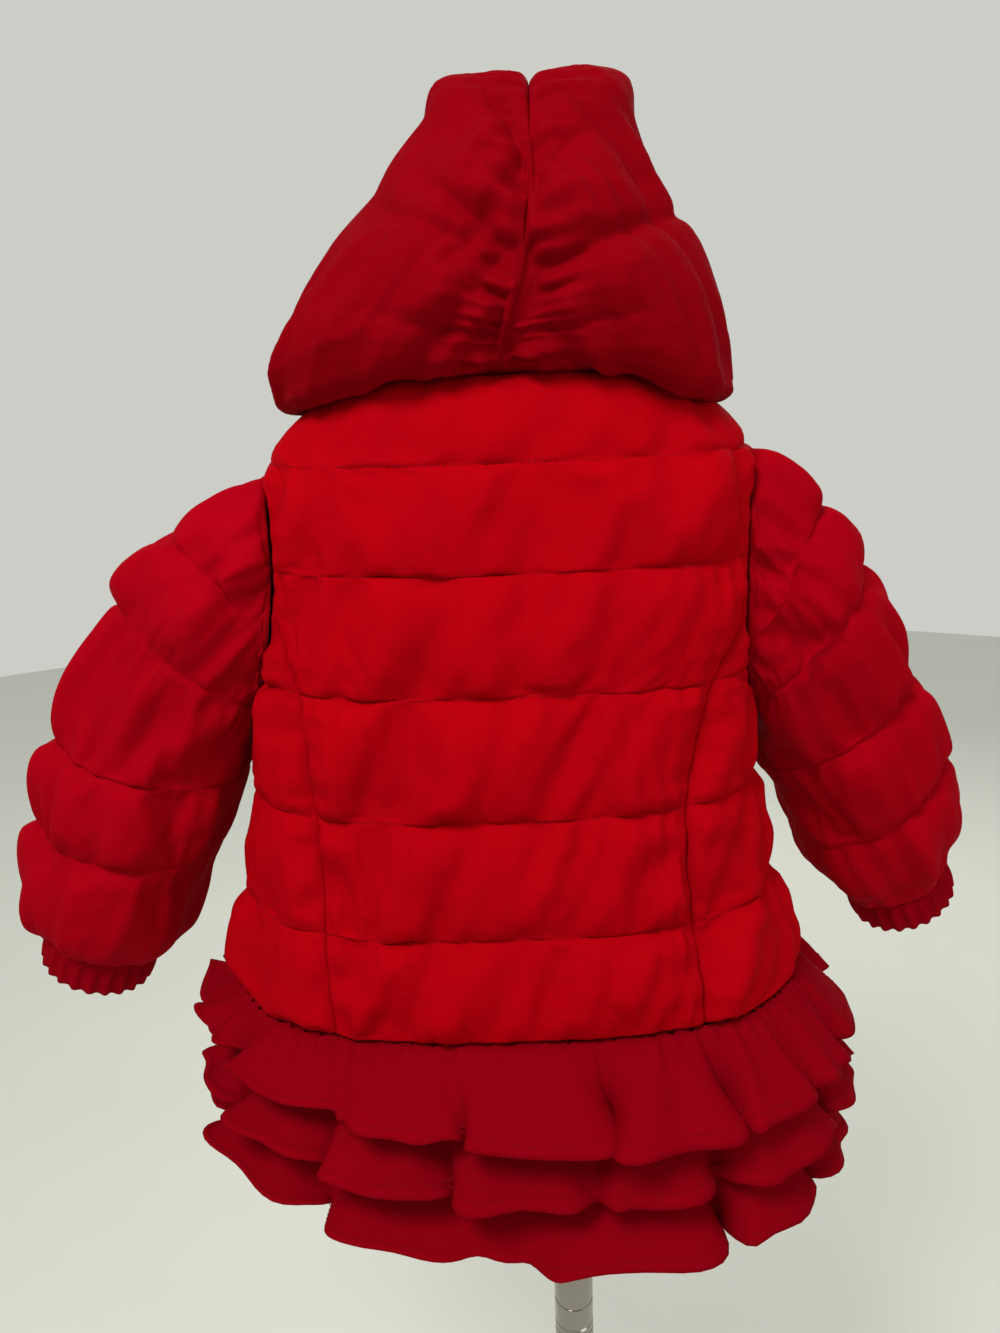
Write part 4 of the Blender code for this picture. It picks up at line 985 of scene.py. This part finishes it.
# The frill's red is the body's cloth painted much darker, as painted shade.
frill_painted_shade_red = red_cloth("frill_painted_shade_red_cloth", (0.25, 0.0004, 0.005), (0.18, 0.0002, 0.005), 0.65)
for tier in FRILL_TIERS:
    angles = frill_angles(tier)
    drop = FRILL_DROPS[tier[0]]
    hem = 1 - HEM_TURNING / drop
    rows = round(drop / FRILL_ROW)
    shares = [hem * i / rows for i in range(rows + 1)] + [hem + HEM_STEP / drop, 0.5 + hem / 2, 1.0]
    spots = [[frill_point(tier, angle, share) for angle in angles] for share in shares]
    held = [[0.0] * len(angles) for _ in shares]
    frill = cloth_piece(f"{tier[0]}_cloth", spots, held, coat_axis)
    edge_group = frill.vertex_groups.new(name="hem")
    hem_height = len(shares) - 3
    for vert in frill.data.vertices:
        row = vert.index // len(angles)
        edge_group.add([vert.index], 1.0 if row >= hem_height else 0.5, "REPLACE")
    finish_cloth(frill, 0.0012, frill_painted_shade_red, tier[0], smoothing=0)
    frill.modifiers["wall"].vertex_group = "hem"
    frill.modifiers["wall"].offset = 0
    frill_pieces[tier[0]] = frill

# ==== The stitching
# Red polyester thread in short stitches: along every quilting line of the body's panels, and along the turned
# hem of each tier of the frill. It lies pulled into the cloth.
STITCH = 0.0026
STITCH_GAP = 0.0007
THREAD_RADIUS = 0.00024


def cloth_surface(piece):
    """The outer surface of a finished cloth piece, to lay stitches on."""
    settled = piece.evaluated_get(bpy.context.evaluated_depsgraph_get())
    mesh = bmesh.new()
    mesh.from_mesh(settled.to_mesh())
    surface = BVHTree.FromBMesh(mesh)
    mesh.free()
    settled.to_mesh_clear()
    return surface


def sew(thread, surface, route):
    """Lays stitches along a route of (point, outward direction) pairs that runs just outside the cloth."""
    walked, since = 0.0, []
    for (one, out_one), (other, out_other) in zip(route, route[1:]):
        length = (other - one).length
        pieces = max(round(length / 0.0008), 1)
        for i in range(pieces):
            share = i / pieces
            point, outward = one.lerp(other, share), out_one.lerp(out_other, share).normalized()
            walked += length / pieces
            if walked % (STITCH + STITCH_GAP) < STITCH:
                since.append((point, outward))
                continue
            if len(since) > 1:
                lay_stitch(thread, surface, since)
            since = []


def lay_stitch(thread, surface, spots):
    (first, out_first), (last, out_last) = spots[0], spots[-1]
    found = []
    for share, rise in ((0.0, -0.0001), (0.5, 0.0002), (1.0, -0.0001)):
        outward = out_first.lerp(out_last, share).normalized()
        hit, normal, _, _ = surface.ray_cast(first.lerp(last, share) + outward * 0.010, -outward, 0.022)
        if hit is None:
            return
        found.append(hit + outward * rise)
    stitch = thread.splines.new("POLY")
    stitch.points.add(2)
    for point, place in zip(stitch.points, found):
        point.co = (*place, 1)


def new_thread(name):
    thread = bpy.data.curves.new(name, "CURVE")
    thread.dimensions = "3D"
    thread.bevel_depth = THREAD_RADIUS
    thread.bevel_resolution = 1
    return thread


def finish_thread(thread):
    stitches = add_object(thread.name, thread)
    thread.materials.append(thread_red.material)
    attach(stitches, "form")


thread_red = Finish("red_thread", (0.20, 0.0005, 0.004), 0.6, Specular_IOR_Level=0.05)
body_thread = new_thread("quilting_stitches")
for panel_name, rows, start_seam, end_seam, columns, seed in BODY_PANELS:
    surface = cloth_surface(body_pieces[panel_name])
    for height in QUILT_LINES[1:-1]:
        if height > max(rows):
            continue
        route = []
        shares = [0.01 + 0.98 * i / 60 for i in range(61)]
        for angle, from_seam in section_angles(start_seam(height), end_seam(height), height, shares):
            point = torso_point(angle, height)
            wander = 0.0009 * noise.noise(Vector((point.x * 70, height * 50, 8.0)))
            route.append((point + Vector((0, 0, wander)), torso_normal(angle, height)))
        sew(body_thread, surface, route)
finish_thread(body_thread)

hem_thread = new_thread("hem_stitches")
for tier in FRILL_TIERS:
    surface = cloth_surface(frill_pieces[tier[0]])
    hem = 1 - HEM_THREAD / FRILL_DROPS[tier[0]]
    route = []
    for angle in frill_angles(tier)[1:-1]:
        point = frill_point(tier, angle, hem)
        across = frill_point(tier, angle + 0.004, hem) - frill_point(tier, angle - 0.004, hem)
        down = frill_point(tier, angle, 1.0) - frill_point(tier, angle, hem - 0.05)
        outward = down.cross(across).normalized()
        if outward.dot(point - coat_axis(point)) < 0:
            outward = -outward
        route.append((point, outward))
    sew(hem_thread, surface, route)
finish_thread(hem_thread)

# ==== The front zip
# A coarse moulded zip: two woven tapes sewn under the fronts' edges, a row of teeth on each, and the slider
# with its pull tab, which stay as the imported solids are.
TAPE_EDGES = (0.0012, 0.0116)
TAPE_OUT = 0.0019
ZIP_HEIGHTS = (0.800, 1.146)
SLIDER_HEIGHT = 1.104
TOOTH = Vector((0.0021, 0.0016, 0.0012))
TOOTH_PITCH = 0.0025
TOOTH_OUT = 0.0023
TOOTH_PARTING = 0.0007  # how far the teeth stand apart above the slider


def front_point(x, height, out):
    angle = -angle_at_x(abs(x), height)
    if x < 0:
        angle = math.pi - angle
    return wall_point(angle, height, out)


tape_red = red_cloth("tape_red_cloth", (0.27, 0.0004, 0.006), (0.22, 0.0002, 0.006), 0.8)
tooth_red = Finish("tooth_red_plastic", (0.30, 0.001, 0.008), 0.35)
low, high = ZIP_HEIGHTS
for side, hand in (("left", 1), ("right", -1)):
    spots = []
    across = [hand * (TAPE_EDGES[0] + (TAPE_EDGES[1] - TAPE_EDGES[0]) * j / 4) for j in range(5)]
    for i in range(61):
        height = low + (high - low) * i / 60
        spots.append([front_point(x, height, TAPE_OUT) for x in across])
    tape = cloth_piece(f"zip_tape_{side}_cloth", spots, [[0.0] * 5 for _ in spots], coat_axis)
    finish_cloth(tape, 0.0009, tape_red, f"zip_tape_{side}", smoothing=0)
    teeth = bmesh.new()
    for i in range(int((high - low - 0.006) / TOOTH_PITCH)):
        height = low + 0.003 + TOOTH_PITCH * (i + (0.5 if hand > 0 else 0.0))
        apart = 0.0 if height < SLIDER_HEIGHT else TOOTH_PARTING
        spot = front_point(hand * 0.0006, height, TOOTH_OUT) + Vector((hand * apart, 0, 0))
        made = bmesh.ops.create_cube(teeth, size=1.0)
        bmesh.ops.scale(teeth, vec=TOOTH, verts=made["verts"])
        bmesh.ops.translate(teeth, vec=spot, verts=made["verts"])
    bmesh.ops.bevel(teeth, geom=teeth.edges[:], offset=0.00025, segments=1, profile=0.5, affect="EDGES",
                    material=-1)
    tooth_row = mesh_object(f"zip_teeth_{side}", teeth)
    tooth_row.data.materials.append(tooth_red.material)
    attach(tooth_row, "form")
zip_metal = Finish("zip_metal_finish", (0.50, 0.50, 0.52), 0.28, Metallic=1.0)
for node in ("zip_slider", "zip_tab"):
    frame["nodes"][node].data.materials.clear()
    frame["nodes"][node].data.materials.append(zip_metal.material)

# ==== The dress form
# A child's limbless torso with two short stumps, in a stretched off-white cover with a fine grey fleck. It
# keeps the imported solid's form with its facets smoothed away, and the mast's socket is cut again afterwards.
SOCKET = (0.0115, 0.585, 0.6404)  # radius, lowest and highest point
FORM_VOXEL = 0.0045

form_cover = Finish("form_cover_finish", (0.68, 0.66, 0.60), 0.85, Specular_IOR_Level=0.2)
cover_place = form_cover.place()
fleck = form_cover.node("ShaderNodeValToRGB", {"stops": ((0.40, 0.0), (0.56, 1.0))},
                        {"Fac": form_cover.patches(cover_place, 900.0, 2.0)})
form_cover.paint(Base_Color=form_cover.blend(fleck, (0.52, 0.50, 0.45), (0.71, 0.69, 0.63, 1)))
form_cover.raise_by(form_cover.patches(cover_place, 1200.0, 1.0), 0.0004, 0.4)
torso_mesh = bmesh.new()
torso_mesh.from_mesh(frame["nodes"]["form_torso"].data)
bmesh.ops.remove_doubles(torso_mesh, verts=torso_mesh.verts[:], dist=1e-5)
torso = mesh_object("form_cover", torso_mesh)
even = torso.modifiers.new("even", "REMESH")
even.mode = "VOXEL"
even.voxel_size = FORM_VOXEL
settle = torso.modifiers.new("settle", "SMOOTH")
settle.factor = 0.5
settle.iterations = 12
socket_mesh = bmesh.new()
bmesh.ops.create_cone(socket_mesh, segments=64, radius1=SOCKET[0], radius2=SOCKET[0],
                      depth=SOCKET[2] - SOCKET[1], cap_ends=True)
bmesh.ops.translate(socket_mesh, vec=(0, 0, (SOCKET[1] + SOCKET[2]) / 2), verts=socket_mesh.verts[:])
socket = mesh_object("socket", socket_mesh)
bore = torso.modifiers.new("bore", "BOOLEAN")
bore.operation = "DIFFERENCE"
bore.solver = "EXACT"
bore.object = socket
bpy.context.view_layer.update()
smooth_torso = bpy.data.meshes.new_from_object(torso.evaluated_get(bpy.context.evaluated_depsgraph_get()))
torso.modifiers.clear()
torso.data = smooth_torso
bpy.data.objects.remove(socket)
for face in smooth_torso.polygons:
    face.use_smooth = True
smooth_torso.materials.clear()
smooth_torso.materials.append(form_cover.material)
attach(torso, "form")
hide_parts("form_torso")

# ==== The stand
# Polished steel tubes: the form's mast slides in the outer tube, and a grip collar with a ring line and
# grooves locks it. A round plate carries the tube; it is below the photograph, so it is the plainest one.
MAST = ((0.0, 0.180), (0.0106, 0.180), (0.0110, 0.1804), (0.0110, 0.6396), (0.0106, 0.640), (0.0, 0.640))
TUBE = ((0.0114, 0.0295), (0.0125, 0.0295), (0.0125, 0.4548), (0.0123, 0.455), (0.0114, 0.455))
COLLAR_TOP = ((0.0134, 0.5400), (0.0140, 0.5397), (0.0142, 0.5390), (0.0142, 0.5044), (0.0137, 0.5040),
              (0.0137, 0.5020), (0.0142, 0.5016), (0.0142, 0.4840))
COLLAR_LOW = 0.440
COLLAR_RADIUS = 0.0142
GROOVES = 5
GROOVE_PITCH = 0.0066
GROOVE_DEPTH = 0.0010
BASE = ((0.0, 0.0), (0.138, 0.0), (0.1396, 0.0006), (0.140, 0.0016), (0.140, 0.0044), (0.1396, 0.0054),
        (0.138, 0.006), (0.030, 0.006), (0.024, 0.0075), (0.020, 0.010), (0.0176, 0.014), (0.0165, 0.018),
        (0.0165, 0.0291), (0.0, 0.0291))
STAND_SEGMENTS = 96
SHARP_ANGLE = math.radians(35)


def turned_piece(name, outline, closed, finish, body):
    """A solid of revolution about the pole: its outline spun once round."""
    mesh = bmesh.new()
    corners = [mesh.verts.new((radius, 0, height)) for radius, height in outline]
    sides = list(zip(corners, corners[1:] + corners[:1] if closed else corners[1:]))
    edges = [mesh.edges.new(pair) for pair in sides]
    bmesh.ops.spin(mesh, geom=corners + edges, cent=(0, 0, 0), axis=(0, 0, 1), angle=2 * math.pi,
                   steps=STAND_SEGMENTS, use_merge=True)
    bmesh.ops.remove_doubles(mesh, verts=mesh.verts[:], dist=1e-6)
    bmesh.ops.recalc_face_normals(mesh, faces=mesh.faces[:])
    piece = mesh_object(f"{name}_turned", mesh)
    for face in piece.data.polygons:
        face.use_smooth = True
    piece.data.set_sharp_from_angle(angle=SHARP_ANGLE)
    piece.data.materials.append(finish.material)
    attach(piece, body)
    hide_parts(name)


chrome = Finish("chrome_finish", (0.30, 0.28, 0.25), 0.16, Metallic=1.0)
smudge = chrome.patches(chrome.place(), 60.0, 3.0, (1, 1, 0.3))
chrome.paint(Roughness=smudge * 0.16 + 0.10)
collar_outline = list(COLLAR_TOP)
groove_top = COLLAR_TOP[-1][1]
for groove in range(GROOVES):
    collar_outline += [(COLLAR_RADIUS - GROOVE_DEPTH, groove_top - 0.0012),
                       (COLLAR_RADIUS, groove_top - 0.0024),
                       (COLLAR_RADIUS, groove_top - GROOVE_PITCH)]
    groove_top -= GROOVE_PITCH
collar_outline += [(COLLAR_RADIUS, COLLAR_LOW + 0.0004), (0.0138, COLLAR_LOW), (0.0128, COLLAR_LOW),
                   (0.0128, 0.4554), (0.0113, 0.4554), (0.0113, 0.5400)]
turned_piece("mast", MAST, False, chrome, "mast")
turned_piece("outer_tube", TUBE, True, chrome, "stand")
turned_piece("lock_collar", collar_outline, True, chrome, "collar")
plate_steel = Finish("plate_finish", (0.42, 0.42, 0.42), 0.3, Metallic=1.0)
plate_steel.paint(Roughness=plate_steel.patches(plate_steel.place(), 30.0, 4.0) * 0.25 + 0.20)
turned_piece("base_plate", BASE, False, plate_steel, "stand")
